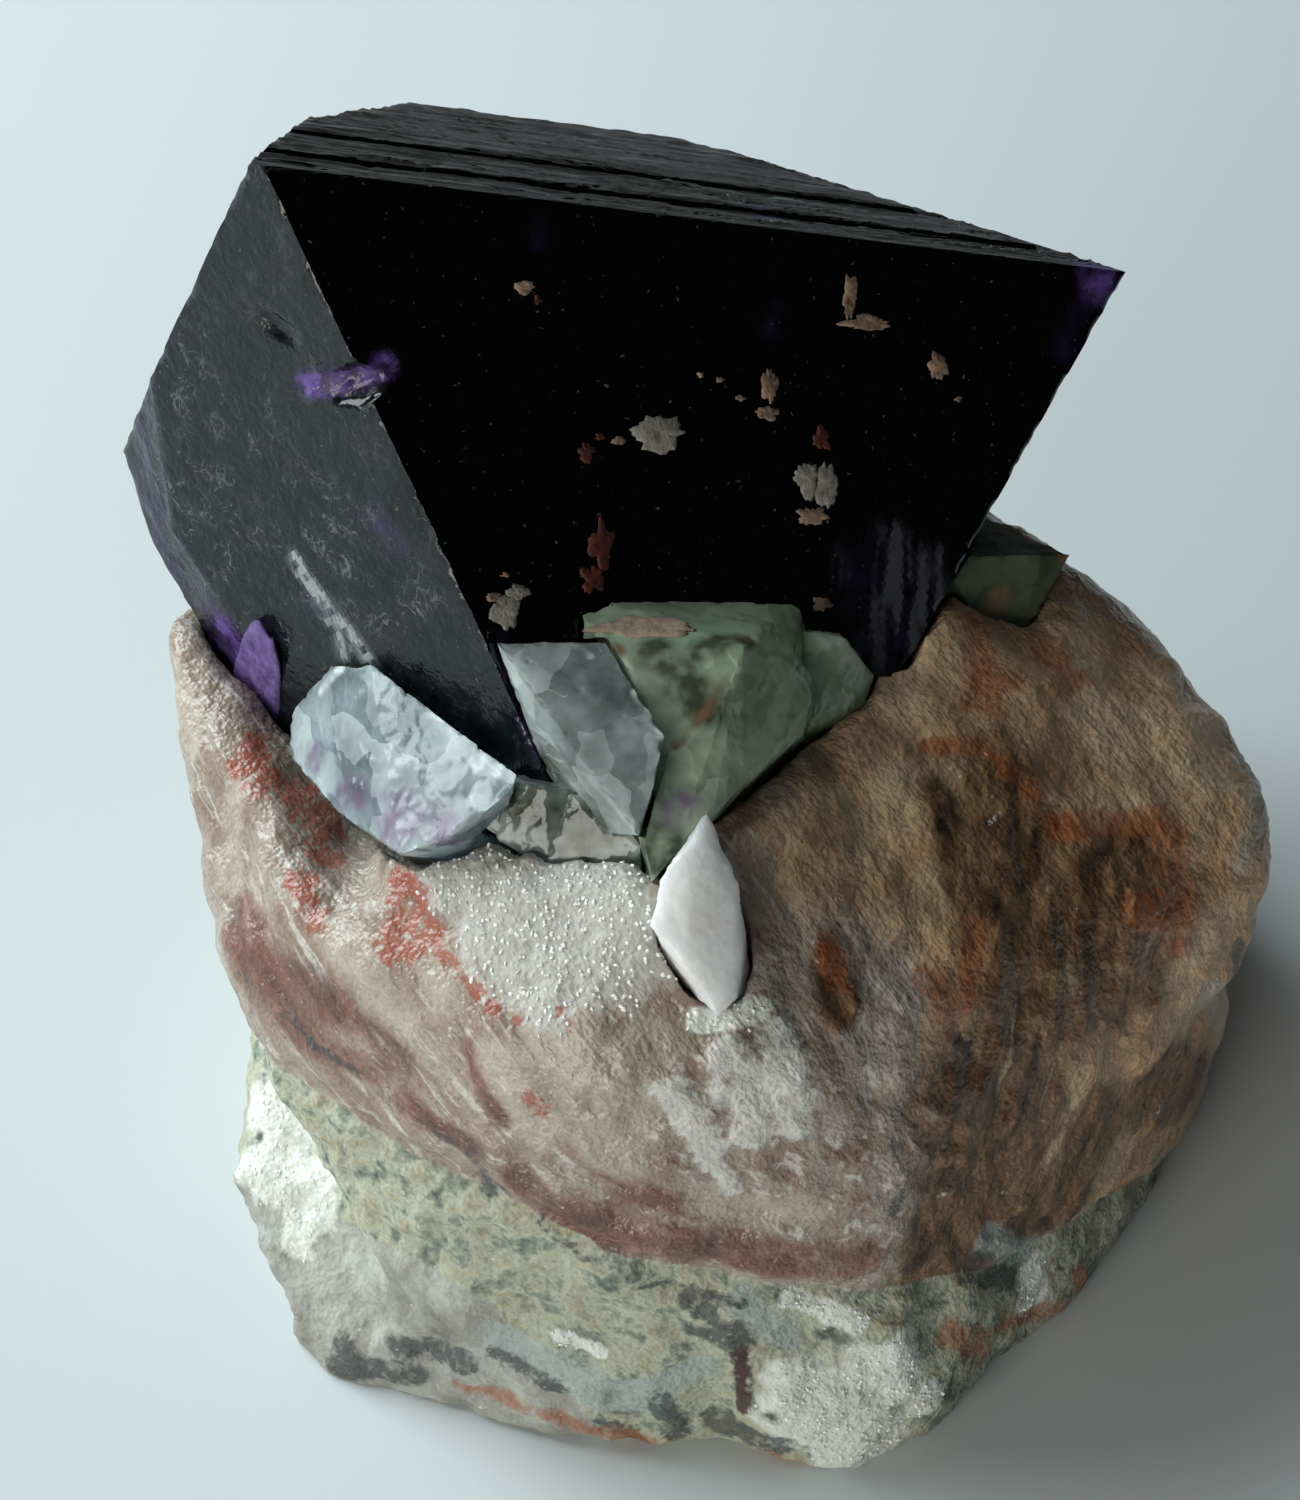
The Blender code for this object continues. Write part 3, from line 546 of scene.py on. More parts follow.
def cloudy_fluorite(name, body, veil, tint, density, cloud, gloss):
    """Light-coloured fluorite: clear where it cleaved cleanly, with milky clouds and healed cracks that scatter
    light. It has a body colour, a paler veil, the tint and density of what its depth absorbs, a share of cloud and a
    roughness."""
    material, tree, where = new_material(name)
    stain, lilac, rims_and_painted_light, shade = (
        add(tree, "ShaderNodeAttribute", attribute_name=mark).outputs["Fac"] for mark in MARK_KINDS
    )
    clouds, bend, wide, gaps, fine = (
        add(
            tree, "ShaderNodeTexNoise",
            {"Vector": where, "Scale": 1 / (size * MM), "Detail": detail, "Roughness": rough, "Distortion": curl},
        )
        for size, detail, rough, curl in (
            (3.8, 3.0, 0.6, 0.0), (2.6, 2.0, 0.5, 0.0), (5.3, 3.0, 0.5, 0.3), (3.1, 3.0, 0.5, 0.0),
            (2.0, 3.0, 0.5, 0.0),
        )
    )
    cloudy = add(
        tree, "ShaderNodeMapRange",
        {
            "Value": clouds, "From Min": 0.34, "From Max": 0.66, "To Min": cloud - 0.25,
            "To Max": cloud + 0.25,
        },
    )
    # Cleavage planes inside the crystal: flat patches 2 to 4 mm across, each a little lighter or darker
    bent = add(
        tree, "ShaderNodeVectorMath", {0: bend.outputs["Color"], 1: (2.2 * MM,) * 3, 2: where},
        operation="MULTIPLY_ADD",
    )
    tilted = add(
        tree, "ShaderNodeMapping",
        {"Vector": bent, "Rotation": (0.5, 0.9, 0.3), "Scale": (1.0, 0.45, 1.3)},
    )
    planes = add(tree, "ShaderNodeTexVoronoi", {"Vector": tilted, "Scale": 1 / (2.3 * MM)})
    planes = add(tree, "ShaderNodeSeparateXYZ", {0: planes.outputs["Color"]}).outputs["X"]
    # Healed cracks: thin curved lines with gaps
    kept = add(tree, "ShaderNodeMapRange", {"Value": gaps, "From Min": 0.5, "From Max": 0.66, "To Max": 0.7})
    cracks = add(
        tree, "ShaderNodeMath", {0: thin_lines(tree, wide, 0.012), 1: kept},
        operation="MULTIPLY",
    )
    # Rims are pale; on the green crystal's lobe the rim mark is painted light.
    cracks = add(tree, "ShaderNodeMath", {0: cracks, 1: rims_and_painted_light}, operation="MAXIMUM")
    paler = add(tree, "ShaderNodeMapRange", {"Value": planes, "From Min": 0.3, "From Max": 1.0, "To Max": 0.55})
    milky = add(tree, "ShaderNodeMath", {0: paler, 1: 0.45, 2: cloudy}, operation="MULTIPLY_ADD")
    milky = add(tree, "ShaderNodeMath", {0: milky, 1: cracks}, operation="MAXIMUM")
    milky = add(tree, "ShaderNodeMath", {0: milky, 1: stain}, operation="MAXIMUM", use_clamp=True)
    paler = add(tree, "ShaderNodeMath", {0: paler, 1: cracks}, operation="MAXIMUM")
    colour = linear(body)
    # The shade mark mixes in a dark olive: painted shade on the green crystal's lit facets, and darker colour on its
    # foot and on the clear crystals' lower fragments.
    for place, tone in ((paler, veil), (shade, "#4d5444"), (lilac, "#84788f"), (stain, "#82654b")):
        colour = add(tree, "ShaderNodeMix", {0: place, 6: colour, 7: linear(tone)}, data_type="RGBA").outputs[2]
    height = add(tree, "ShaderNodeMath", {0: fine, 1: planes}, operation="ADD")
    bump = add(tree, "ShaderNodeBump", {"Height": height, "Strength": 0.22, "Distance": 0.4 * MM})
    return clear_body(material, tree, colour, milky, gloss, bump, tint, density)


def calcite_and_wall_rock(settings):
    """Massive calcite that broke with a waxy to sugary surface, drawn out in fibres and stained by iron, over
    altered, granular wall rock. Which is where comes from the mesh's own attributes."""
    material, tree, where = new_material("calcite and wall rock")
    zone = {
        name: add(tree, "ShaderNodeAttribute", attribute_name=name).outputs["Fac"]
        for name in (*ZONES, "wall", "lump", "right_side")
    }
    # Fibres 2 mm wide and streaks of 0.75 mm. The real ones are finer, and these are as coarse as that so that they
    # show.
    front_fibres = fibre_noise(tree, where, FRONT_FIBRES, 1.9, 0.16, 3.0, 0.6, 0.35)
    side_fibres = fibre_noise(tree, where, SIDE_FIBRES, 2.3, 0.2, 3.0, 0.6, 0.6)
    streaks = fibre_noise(tree, where, FRONT_FIBRES, 0.75, 0.09, 3.0, 0.6, 0.2)
    patches, grain, mottle, specks = (
        add(
            tree, "ShaderNodeTexNoise",
            {"Vector": where, "Scale": 1 / (size * MM), "Detail": detail, "Roughness": rough},
        )
        for size, detail, rough in ((5.3, 3.0, 0.6), (0.53, 1.5, 0.7), (1.9, 3.0, 0.7), (0.87, 2.5, 0.75))
    )
    front, clear, side, soft_side, wall, lump, stained = (
        add(tree, "ShaderNodeValToRGB", {"Fac": field}, stops=stops)
        for field, *stops in (
            (
                front_fibres, (0.3, "#7b6055"), (0.42, "#967b6d"), (0.52, "#a39385"), (0.62, "#b2a89d"),
                (0.75, "#94796c"),
            ),
            (patches, (0.35, "#8e8074"), (0.5, "#a09081"), (0.65, "#b6afa5")),
            (
                side_fibres, (0.3, "#33241a"), (0.42, "#674a34"), (0.52, "#8e6f50"), (0.6, "#6c4e38"),
                (0.72, "#c0a98e"),
            ),
            (patches, (0.35, "#ad8968"), (0.5, "#c3a17f"), (0.65, "#d2b797")),
            (mottle, (0.3, "#565f57"), (0.4, "#879080"), (0.5, "#b6baa6"), (0.6, "#aaa78c"), (0.74, "#767f73")),
            (patches, (0.34, "#74726a"), (0.46, "#95958c"), (0.6, "#afb1a9")),
            (front_fibres, (0.32, "#55342a"), (0.5, "#794f40"), (0.66, "#99786a")),
        )
    )
    # The pale front: fibres with clearer patches, white lines of cleavage and dark fissures that run with the fibres.
    # It passes into the softer calcite of the right side.
    lines = add(tree, "ShaderNodeMapRange", {"Value": streaks, "From Min": 0.55, "From Max": 0.64, "To Max": 0.75})
    cracks = add(tree, "ShaderNodeMath", {0: thin_lines(tree, front_fibres, 0.008), 1: 0.45}, operation="MULTIPLY")
    below = front
    for share, colour in (
        (patches, clear), (lines, linear("#d2cdc4")), (cracks, linear("#5b463b")),
        (zone["right_side"], soft_side),
    ):
        below = add(tree, "ShaderNodeMix", {0: share, 6: below, 7: colour}, data_type="RGBA").outputs[2]
    # Each layer lies over the last one where its zone says. Its edge is as ragged as the pattern named makes it, over
    # the share of the edge given, and it hides the last one as much as the last number says.
    layers = (
        ("brown", side, patches, 0.6, 0.4, 1.0),
        ("red_brown", stained, patches, 0.9, 0.5, 0.95),
        ("paler", linear("#b9ae9f"), patches, 0.8, 0.45, 0.85),
        ("glassy", linear("#d6d6d2"), mottle, 1.3, 0.2, 0.85),
        ("sugar", linear("#bfbeb6"), mottle, 0.6, 0.3, 0.9),
        ("wall", wall, mottle, 0.2, 0.15, 1.0),
        ("lump", lump, mottle, 0.25, 0.2, 1.0),
        ("bluish", linear("#a3b2af"), mottle, 0.9, 0.35, 0.75),
        ("white", linear("#e4e8e1"), mottle, 0.6, 0.2, 0.95),
        # Dark: dark specks of the rock, and painted shadow in the thin creases along the seam.
        ("dark", linear("#3a4043"), specks, 1.7, 0.35, 0.8),
        ("rust", linear("#a4523d"), specks, 2.6, 0.3, 0.75),
        ("iron", linear("#a45c33"), specks, 1.7, 0.6, 0.7),
        ("maroon", linear("#401c22"), specks, 0.9, 0.25, 0.9),
    )
    for name, colour, pattern, ragged, soft, strength in layers:
        shifted = add(
            tree, "ShaderNodeMapRange",
            {
                "Value": pattern, "From Min": 0.25, "From Max": 0.75, "To Min": -0.5 * ragged,
                "To Max": 0.5 * ragged,
            },
        )
        edge = add(tree, "ShaderNodeMath", {0: zone[name], 1: shifted}, operation="ADD")
        edge = add(
            tree, "ShaderNodeMapRange",
            {"Value": edge, "From Min": 0.5 - soft, "From Max": 0.5 + soft, "To Max": strength},
        )
        inside = add(tree, "ShaderNodeMapRange", {"Value": zone[name], "From Min": 0.02, "From Max": 0.3})
        mask = add(tree, "ShaderNodeMath", {0: edge, 1: inside}, operation="MULTIPLY")
        below = add(tree, "ShaderNodeMix", {0: mask, 6: below, 7: colour}, data_type="RGBA").outputs[2]
    # A little light and dark in the grain of all of it, and painted highlights: white glints of cleavage painted into
    # the colour
    shade = add(
        tree, "ShaderNodeMapRange",
        {"Value": grain, "From Min": 0.25, "From Max": 0.75, "To Min": 0.84, "To Max": 1.1},
    )
    toned = add(tree, "ShaderNodeMix", {0: 1.0, 6: below, 7: shade}, data_type="RGBA", blend_type="MULTIPLY")
    painted_glints = add(tree, "ShaderNodeMapRange", {"Value": specks, "From Min": 0.68, "From Max": 0.74, "To Max": 0.5})
    painted_glinting = add(tree, "ShaderNodeMix", {0: painted_glints, 6: toned.outputs[2], 7: linear("#eceae4")}, data_type="RGBA")
    matt = add(tree, "ShaderNodeMath", {0: zone["wall"], 1: zone["sugar"]}, operation="MAXIMUM")
    gloss = add(tree, "ShaderNodeMapRange", {"Value": matt, "To Min": 0.3, "To Max": 0.65})
    height = add(tree, "ShaderNodeMath", {0: streaks, 1: grain}, operation="ADD")
    height = add(tree, "ShaderNodeMath", {0: height, 1: mottle}, operation="ADD")
    bump = add(tree, "ShaderNodeBump", {"Height": height, "Strength": 0.42, "Distance": 0.7 * MM})
    return solid_body(material, tree, {
        "Base Color": painted_glinting.outputs[2], "Roughness": gloss, "Normal": bump, "IOR": CALCITE_IOR,
        "Subsurface Weight": 0.3, "Subsurface Radius": (1.0, 0.66, 0.48), "Subsurface Scale": settings.glow * MM,
    })


def sugary_calcite(name, glow):
    """White calcite that broke between its grains of half a millimetre, so it looks like packed sugar, with a waxy
    inner glow where it is thick. The glow is how far light wanders in it, in millimetres."""
    material, tree, where = new_material(name)
    tone = add(tree, "ShaderNodeTexNoise", {"Vector": where, "Scale": 1 / (3.0 * MM), "Detail": 4.0})
    colour = add(tree, "ShaderNodeMix", {0: tone, 6: linear("#eeede7"), 7: linear("#ffffff")}, data_type="RGBA")
    grains = add(tree, "ShaderNodeTexVoronoi", {"Vector": where, "Scale": 1 / (0.5 * MM)})
    bump = add(tree, "ShaderNodeBump", {"Height": grains.outputs["Distance"], "Strength": 0.3, "Distance": 0.5 * MM})
    return solid_body(material, tree, {
        "Base Color": colour.outputs[2], "Roughness": 0.5, "Normal": bump, "IOR": CALCITE_IOR,
        "Subsurface Weight": min(1.0, glow / 3.0), "Subsurface Radius": (1.0, 0.95, 0.9),
        "Subsurface Scale": glow * MM,
    })


def crust(name, light, dark):
    """A thin crust on a crystal face, matt and mottled: leftover calcite, clay, iron rust or paler fluorite."""
    material, tree, where = new_material(name)
    tone = add(
        tree, "ShaderNodeTexNoise", {"Vector": where, "Scale": 1 / (0.9 * MM), "Detail": 4.0, "Roughness": 0.7}
    )
    share = add(tree, "ShaderNodeMapRange", {"Value": tone, "From Min": 0.35, "From Max": 0.65})
    colour = add(tree, "ShaderNodeMix", {0: share, 6: linear(dark), 7: linear(light)}, data_type="RGBA")
    bump = add(tree, "ShaderNodeBump", {"Height": tone, "Strength": 0.5, "Distance": 0.3 * MM})
    return solid_body(material, tree, {"Base Color": colour.outputs[2], "Roughness": 0.65, "Normal": bump})


# Settings that a user would change

LENGTH = {"subtype": "DISTANCE", "unit": "LENGTH", "precision": 5}


class CrystalSettings(bpy.types.PropertyGroup):
    relief: FloatProperty(name="Step height", description="Height of the growth steps on the top face",
                          default=0.12 * MM, min=0.0, **LENGTH)
    triangle: FloatProperty(name="Relief grid", description="Longest side of the triangles on the crystal faces",
                            default=0.6 * MM, min=0.2 * MM, **LENGTH)
    etching: FloatProperty(name="Etching", description="Strength of the etch marks on the left face",
                           default=0.8, min=0.0, max=1.0, subtype="FACTOR")
    gloss: FloatProperty(name="Face roughness", description="Roughness of the clean dark faces",
                         default=0.1, min=0.0, max=1.0, subtype="FACTOR")
    depth: FloatProperty(name="Colour depth", description="Absorption of the dark crystal, per metre",
                         default=1500.0, min=0.0)


class RockSettings(bpy.types.PropertyGroup):
    cell: FloatProperty(name="Surface cell", description="Size of the cells of the rock's fine surface",
                        default=0.44 * MM, min=0.25 * MM, **LENGTH)
    roughness: FloatProperty(name="Relief", description="Scales all the rock's fine relief",
                             default=1.0, min=0.0, max=3.0, subtype="FACTOR")
    glow: FloatProperty(name="Inner glow", description="How far light wanders in the calcite, in millimetres",
                        default=1.2, min=0.0)
    grain: FloatProperty(name="Sugar grain", description="Size of the loose-looking calcite grains",
                         default=0.42 * MM, min=0.1 * MM, **LENGTH)
    grains: FloatProperty(name="Grains", description="Grains for each square metre of sugary surface",
                          default=4.0e6, min=0.0)
    seed: IntProperty(name="Seed", description="Seed of the grains", default=4, min=0)


class StageSettings(bpy.types.PropertyGroup):
    paper: FloatVectorProperty(name="Paper", description="Colour of the sheet below", size=3, subtype="COLOR",
                               default=linear("#dde4e6")[:3], min=0.0, max=1.0)
    window: FloatProperty(name="Window light", description="Power of the window light", default=6.2, min=0.0,
                          unit="POWER")
    wall: FloatProperty(name="Wall light", description="Power of the light that the white wall in front gives back",
                        default=2.6, min=0.0, unit="POWER")
    room: FloatProperty(name="Room light", description="Brightness of the room on the window's side",
                        default=0.2, min=0.0)


# Operators: one for each piece or group of like pieces, and one for the stage

def crystal_mesh(node, triangle, relief):
    """A crystal's solid cut into fine triangles and lifted by its relief: steps, chips and worn edges."""
    body = refined(merged(node), triangle)
    body.normal_update()
    points = np.array([vertex.co for vertex in body.verts])
    for vertex, lift in zip(body.verts, relief(body, points)):
        vertex.co += vertex.normal * lift
    return new_mesh(node, body)


def edge_share(body):
    """1 for vertices on a crystal edge, 0 on the faces."""
    share = np.zeros(len(body.verts))
    body.verts.index_update()
    for edge in body.edges:
        if len(edge.link_faces) == 2 and edge.calc_face_angle(0.0) > CRYSTAL_EDGE:
            for vertex in edge.verts:
                share[vertex.index] = 1.0
    return share


class SPECIMEN_OT_dark_octahedron(bpy.types.Operator):
    """Makes the large dark crystal, with its growth steps, etch pits and worn edges"""
    bl_idname = "specimen.dark_octahedron"
    bl_label = "Dark Octahedron"

    def execute(self, context):
        settings = context.scene.specimen_crystals
        surface = surface_of("fluorite_octahedron")

        def below_faces(points):
            """How deep points lie below the planes of the top, front and left face."""
            local = points - np.array(OCTAHEDRON_CENTRE)
            return [FACE_DISTANCE - local @ np.array(face) for face in (TOP, FRONT, LEFT)]

        def relief(body, points):
            below_top, below_front, below_left = below_faces(points)
            top = np.abs(below_top) < 0.8 * MM  # with the treads of its larger terraces
            front, left = (np.abs(below) < 0.05 * MM for below in (below_front, below_left))
            # Growth steps of the top face run along its near edge, 1.7 mm apart
            away = below_front / MM
            along = (points - np.array(OCTAHEDRON_CENTRE)) @ np.array(ALONG_TOP_EDGE) / MM
            stretched = np.stack([away * 0.45, along * 0.05, np.zeros(len(away))], 1) * MM
            phase = away / 1.7 + 1.3 * noise_at(stretched, 1.0, 3.0)
            steps = (phase % 1.0) * settings.relief + 0.9 * settings.relief * noise_at(stretched * 4.0, 1.0, 9.0)
            steps += 0.35 * settings.relief * noise_at(points, 0.9, 7.0)
            lift = np.where(top, steps * np.clip(away / 1.2, 0.0, 1.0), 0.0)
            # The left face swells and is pitted, the front one is all but flat, and the hidden ones are rough
            swell = noise_at(points, 9.0, 5.0, 2)
            lift += np.where(left, 0.09 * MM * swell + 0.07 * MM * np.abs(noise_at(points, 1.6, 2.0)), 0.0)
            lift += np.where(front, 0.015 * MM * swell, 0.0)
            hidden = ~(top | front | left)
            lift += np.where(hidden, 0.12 * MM * noise_at(points, 2.4, 8.0) - 0.05 * MM, 0.0)
            # The rough purple ground at the foot of the dark face, where the crystal grew against the rock
            ground = zone_values(points, surface, ROUGH_GROUND) * front
            lift += ground * MM * (0.1 + 0.12 * noise_at(drawn_out(points, DOWN_FRONT), 0.9, 6.0, 4))
            lift += zone_values(points, surface, CHIPPED) * MM * 0.3 * noise_at(points, 0.9, 2.0)
            lift -= 0.3 * MM * zone_values(points, surface, [PIT]) * left
            # Corners and edges are nibbled, a tenth of a millimetre or two
            return lift - edge_share(body) * 0.16 * MM * np.clip(noise_at(points, 1.2, 1.0) + 0.1, 0.0, 1.0)

        mesh = crystal_mesh("fluorite_octahedron", settings.triangle, relief)
        centres, normals = values_of(mesh.polygons, "center"), values_of(mesh.polygons, "normal")
        below_top, _, below_left = below_faces(centres)
        facing_left = normals @ np.array(LEFT)
        left = (facing_left > 0.8) & (below_left < 0.9 * MM)
        top = (normals @ np.array(TOP) > 0.75) & (below_top < 0.9 * MM)
        bevels = (facing_left < 0.985) & (facing_left > 0.7) & (centres[:, 0] - OCTAHEDRON_CENTRE.x < -18 * MM)
        uneven = noise_at(centres, 1.0, 4.0)
        faint = 0.26 * zone_values(centres, surface, FAINT_VIOLET)
        violet = np.maximum(faint, zone_values(centres, surface, VIOLET_AND_CORNER_GLOW)) * (0.75 + 0.55 * uneven)
        dust = zone_values(centres, surface, DUST) * (0.8 + 0.9 * noise_at(centres, 0.7, 2.5))
        ribs = np.clip(2.0 * noise_at(drawn_out(centres, DOWN_FRONT), 0.8, 8.0) + 0.3, 0.0, 1.0)
        ground = 0.42 * zone_values(centres, surface, ROUGH_GROUND) * ribs
        for name, values in {
            "left_face": left,
            "top_face": top,
            "pitted": left * (0.25 + 0.75 * zone_values(centres, surface, PITTED)),
            "violet": np.clip(np.maximum(violet, (0.12 + 0.4 * uneven) * bevels), 0.0, 1.0),
            "dust": np.clip(np.maximum(dust, ground), 0.0, 1.0),
        }.items():
            set_attribute(mesh, name, values, "FACE")
        mesh.shade_smooth()
        mesh.set_sharp_from_angle(angle=math.radians(22))
        obj = new_object("dark_octahedron", mesh)
        dress(obj, deep_purple_fluorite(settings), "fluorite_octahedron", "fluorite_octahedron")
        return {"FINISHED"}


class SPECIMEN_OT_small_fluorites(bpy.types.Operator):
    """Makes the green, clear and pale crystals at the foot of the dark one, and the small octahedron beside it"""
    bl_idname = "specimen.small_fluorites"
    bl_label = "Small Fluorites"

    def execute(self, context):
        settings = context.scene.specimen_crystals

        def relief(body, points):
            # Stepped breaks: noise in a few levels gives flat treads with short risers
            stepped = np.floor(noise_at(points, 3.2, 7.0, 2) * 3.0) / 3.0
            worn = 0.22 * MM * np.clip(noise_at(points, 0.9, 1.0) + 0.2, 0.0, 1.0)
            return 0.11 * MM * stepped + 0.03 * MM * noise_at(points, 1.0, 3.0) - edge_share(body) * worn

        for name, (node, *looks) in SMALL_FLUORITES.items():
            surface = surface_of(node)
            mesh = crystal_mesh(node, settings.triangle * 0.6, relief)
            points = values_of(mesh.vertices, "co")
            ragged = 0.8 + 0.6 * noise_at(points, 1.0, 6.0)
            for mark in MARK_KINDS:
                values = zone_values(points, surface, CRYSTAL_MARKS[name].get(mark, []))
                set_attribute(mesh, mark, np.clip(values * ragged, 0.0, 1.0))
            mesh.shade_smooth()
            mesh.set_sharp_from_angle(angle=math.radians(18))
            dress(new_object(name, mesh), cloudy_fluorite(*looks), node, node)
        return {"FINISHED"}


class SPECIMEN_OT_calcite_blade(bpy.types.Operator):
    """Makes the white sugary blade that stands up at the front"""
    bl_idname = "specimen.calcite_blade"
    bl_label = "Calcite Blade"

    def execute(self, context):
        def relief(body, points):
            return 0.12 * MM * noise_at(points, 1.5, 2.0) + 0.07 * MM * noise_at(points, 0.6, 5.0)

        mesh = crystal_mesh("white_calcite_blade", 0.3 * MM, relief)
        mesh.shade_smooth()
        material = sugary_calcite("waxy white calcite", 3.5)
        dress(new_object("sugar_blade", mesh), material, "white_calcite_blade", "white_calcite_blade")
        return {"FINISHED"}


def rock_zones(points, surface):
    """How much each point of the rock belongs to each of its zones."""
    zones = {name: zone_values(points, surface, spots) for name, spots in ZONES.items()}
    from_seam = points / MM - np.array(SEAM_FRAME)
    seam = (from_seam - np.array(SEAM_POINT)) @ np.array(SEAM_UP)
    seam += 1.2 * np.array([noise.noise(p) for p in from_seam / 11.0])
    zones["wall"] = smoothstep(0.25, -0.25, seam)
    lump = np.min([beside_line(points, a, b) for a, b in zip(LUMP_EDGE, LUMP_EDGE[1:])], axis=0)
    zones["lump"] = smoothstep(-0.4, 0.4, lump) * zones["wall"]
    right = np.min([-beside_line(points, a, b) for a, b in zip(RIDGE, RIDGE[1:])], axis=0)
    # At the back the two kinds of calcite pass into each other over some millimetres
    behind = np.minimum((points[:, 1] / MM + 22.0) * 0.6, (points[:, 0] / MM - 2.0) * 0.3)
    right = np.maximum(right, behind)
    zones["right_side"] = smoothstep(-0.6, 1.6, right + 1.2 * noise_at(points, 4.0, 3.0))
    # Out of the picture's sight, the brown fibrous calcite goes on round the right side in patches
    flank = smoothstep(-4.0, 6.0, points[:, 1] / MM) * smoothstep(26.0, 17.0, points[:, 2] / MM)
    flank *= zones["right_side"] * smoothstep(-0.25, 0.25, noise_at(points, 9.0, 31.0))
    zones["brown"] = np.maximum(zones["brown"], flank)
    return zones


def rock_relief(points, zones):
    """How far the rock's surface stands out at each point, in millimetres: waxy broken calcite, fibres, sugar, and
    granular wall rock."""
    fibrous, side_fibrous = (
        noise_at(drawn_out(points, direction), size, seed)
        for direction, size, seed in ((FRONT_FIBRES, 1.3, 4.0), (SIDE_FIBRES, 1.5, 5.0))
    )
    fibrous += zones["right_side"] * (side_fibrous - fibrous)
    broad = noise_at(points, 6.0, 1.0)
    fine = noise_at(points, 1.1, 9.0)
    gritty = noise_at(points, 2.4, 6.0)
    broken = np.floor(noise_at(points, 3.6, 13.0, 2) * 4.0) / 4.0
    calcite = 0.25 * broad + 0.35 * broken + (0.14 + 0.26 * zones["brown"]) * fibrous + 0.05 * fine
    sugar = 0.2 * broad + 0.16 * gritty + 0.14 * fine
    wall = 0.35 * broad + 0.32 * gritty + 0.14 * fine
    lift = calcite + zones["sugar"] * (sugar - calcite)
    lift += zones["wall"] * (wall - lift)
    # Cleavage flakes of clear calcite stand up with a sharp edge
    lift += 0.28 * smoothstep(0.5, 0.62, zones["glassy"] * (1.0 + 1.1 * noise_at(points, 1.7, 21.0)))
    # The underside stays flat
    return lift * smoothstep(0.1, 0.6, points[:, 2] / MM)


class SPECIMEN_OT_matrix(bpy.types.Operator):
    """Makes the rock: fibrous and sugary calcite over granular wall rock"""
    bl_idname = "specimen.matrix"
    bl_label = "Matrix"

    def execute(self, context):
        settings = context.scene.specimen_rock
        obj = new_object("calcite_rock", new_mesh("matrix", merged("matrix")))
        remesh = obj.modifiers.new("fine surface", "REMESH")
        remesh.mode = "VOXEL"
        remesh.voxel_size = settings.cell
        soften = obj.modifiers.new("no facets", "SMOOTH")
        soften.factor = 0.5
        soften.iterations = 5
        settled(obj)
        mesh = obj.data
        points, normals = values_of(mesh.vertices, "co"), values_of(mesh.vertices, "normal")
        zones = rock_zones(points, surface_of("matrix"))
        points += normals * (settings.roughness * rock_relief(points, zones))[:, None] * MM
        points[:, 2] = np.maximum(points[:, 2], 0.0)
        mesh.vertices.foreach_set("co", points.astype(np.float32).ravel())
        for name, values in zones.items():
            set_attribute(mesh, name, values)
        mesh.shade_smooth()
        mesh.update()
        dress(obj, calcite_and_wall_rock(settings), "matrix", "matrix")
        return {"FINISHED"}


def grain_tree(grain_material):
    """Small blocky grains scattered over a surface where it is sugary, each turned its own way."""
    tree = bpy.data.node_groups.new("sugar grains", "GeometryNodeTree")
    for name, way, kind in (
        ("Geometry", "INPUT", "Geometry"), ("Grain Size", "INPUT", "Float"), ("Grains per Area", "INPUT", "Float"),
        ("Seed", "INPUT", "Int"), ("Geometry", "OUTPUT", "Geometry"),
    ):
        tree.interface.new_socket(name, in_out=way, socket_type=f"NodeSocket{kind}")
    given = add(tree, "NodeGroupInput")
    sugar = add(tree, "GeometryNodeInputNamedAttribute", {"Name": "grainy"}, data_type="FLOAT")
    density = add(
        tree, "ShaderNodeMath", {0: sugar.outputs["Attribute"], 1: given.outputs["Grains per Area"]},
        operation="MULTIPLY",
    )
    scattered = add(
        tree, "GeometryNodeDistributePointsOnFaces",
        {"Mesh": given.outputs["Geometry"], "Density": density, "Seed": given.outputs["Seed"]},
    )
    grain = add(tree, "GeometryNodeMeshIcoSphere", {"Radius": given.outputs["Grain Size"], "Subdivisions": 1})
    # Corners moved by up to a tenth of the grain make it blocky
    half = add(tree, "ShaderNodeMath", {0: given.outputs["Grain Size"], 1: 0.45}, operation="MULTIPLY")
    jitter = add(
        tree, "FunctionNodeRandomValue", {"Min": (-0.25,) * 3, "Max": (0.25,) * 3, "Seed": 3},
        data_type="FLOAT_VECTOR",
    )
    moved = add(tree, "ShaderNodeVectorMath", {0: jitter.outputs["Value"], "Scale": half}, operation="SCALE")
    blocky = add(tree, "GeometryNodeSetPosition", {"Geometry": grain.outputs["Mesh"], "Offset": moved})
    turn, size = (
        add(
            tree, "FunctionNodeRandomValue", {"Seed": given.outputs["Seed"], "Min": low, "Max": high},
            data_type="FLOAT_VECTOR",
        )
        for low, high in (((0.0,) * 3, (FULL_TURN,) * 3), ((0.35, 0.35, 0.25), (1.0, 0.8, 0.7)))
    )
    placed = add(
        tree, "GeometryNodeInstanceOnPoints",
        {
            "Points": scattered.outputs["Points"], "Instance": blocky,
            "Rotation": turn.outputs["Value"], "Scale": size.outputs["Value"],
        },
    )
    real = add(tree, "GeometryNodeRealizeInstances", {"Geometry": placed})
    painted = add(tree, "GeometryNodeSetMaterial", {"Geometry": real, "Material": grain_material})
    add(tree, "NodeGroupOutput", {0: painted})
    return tree


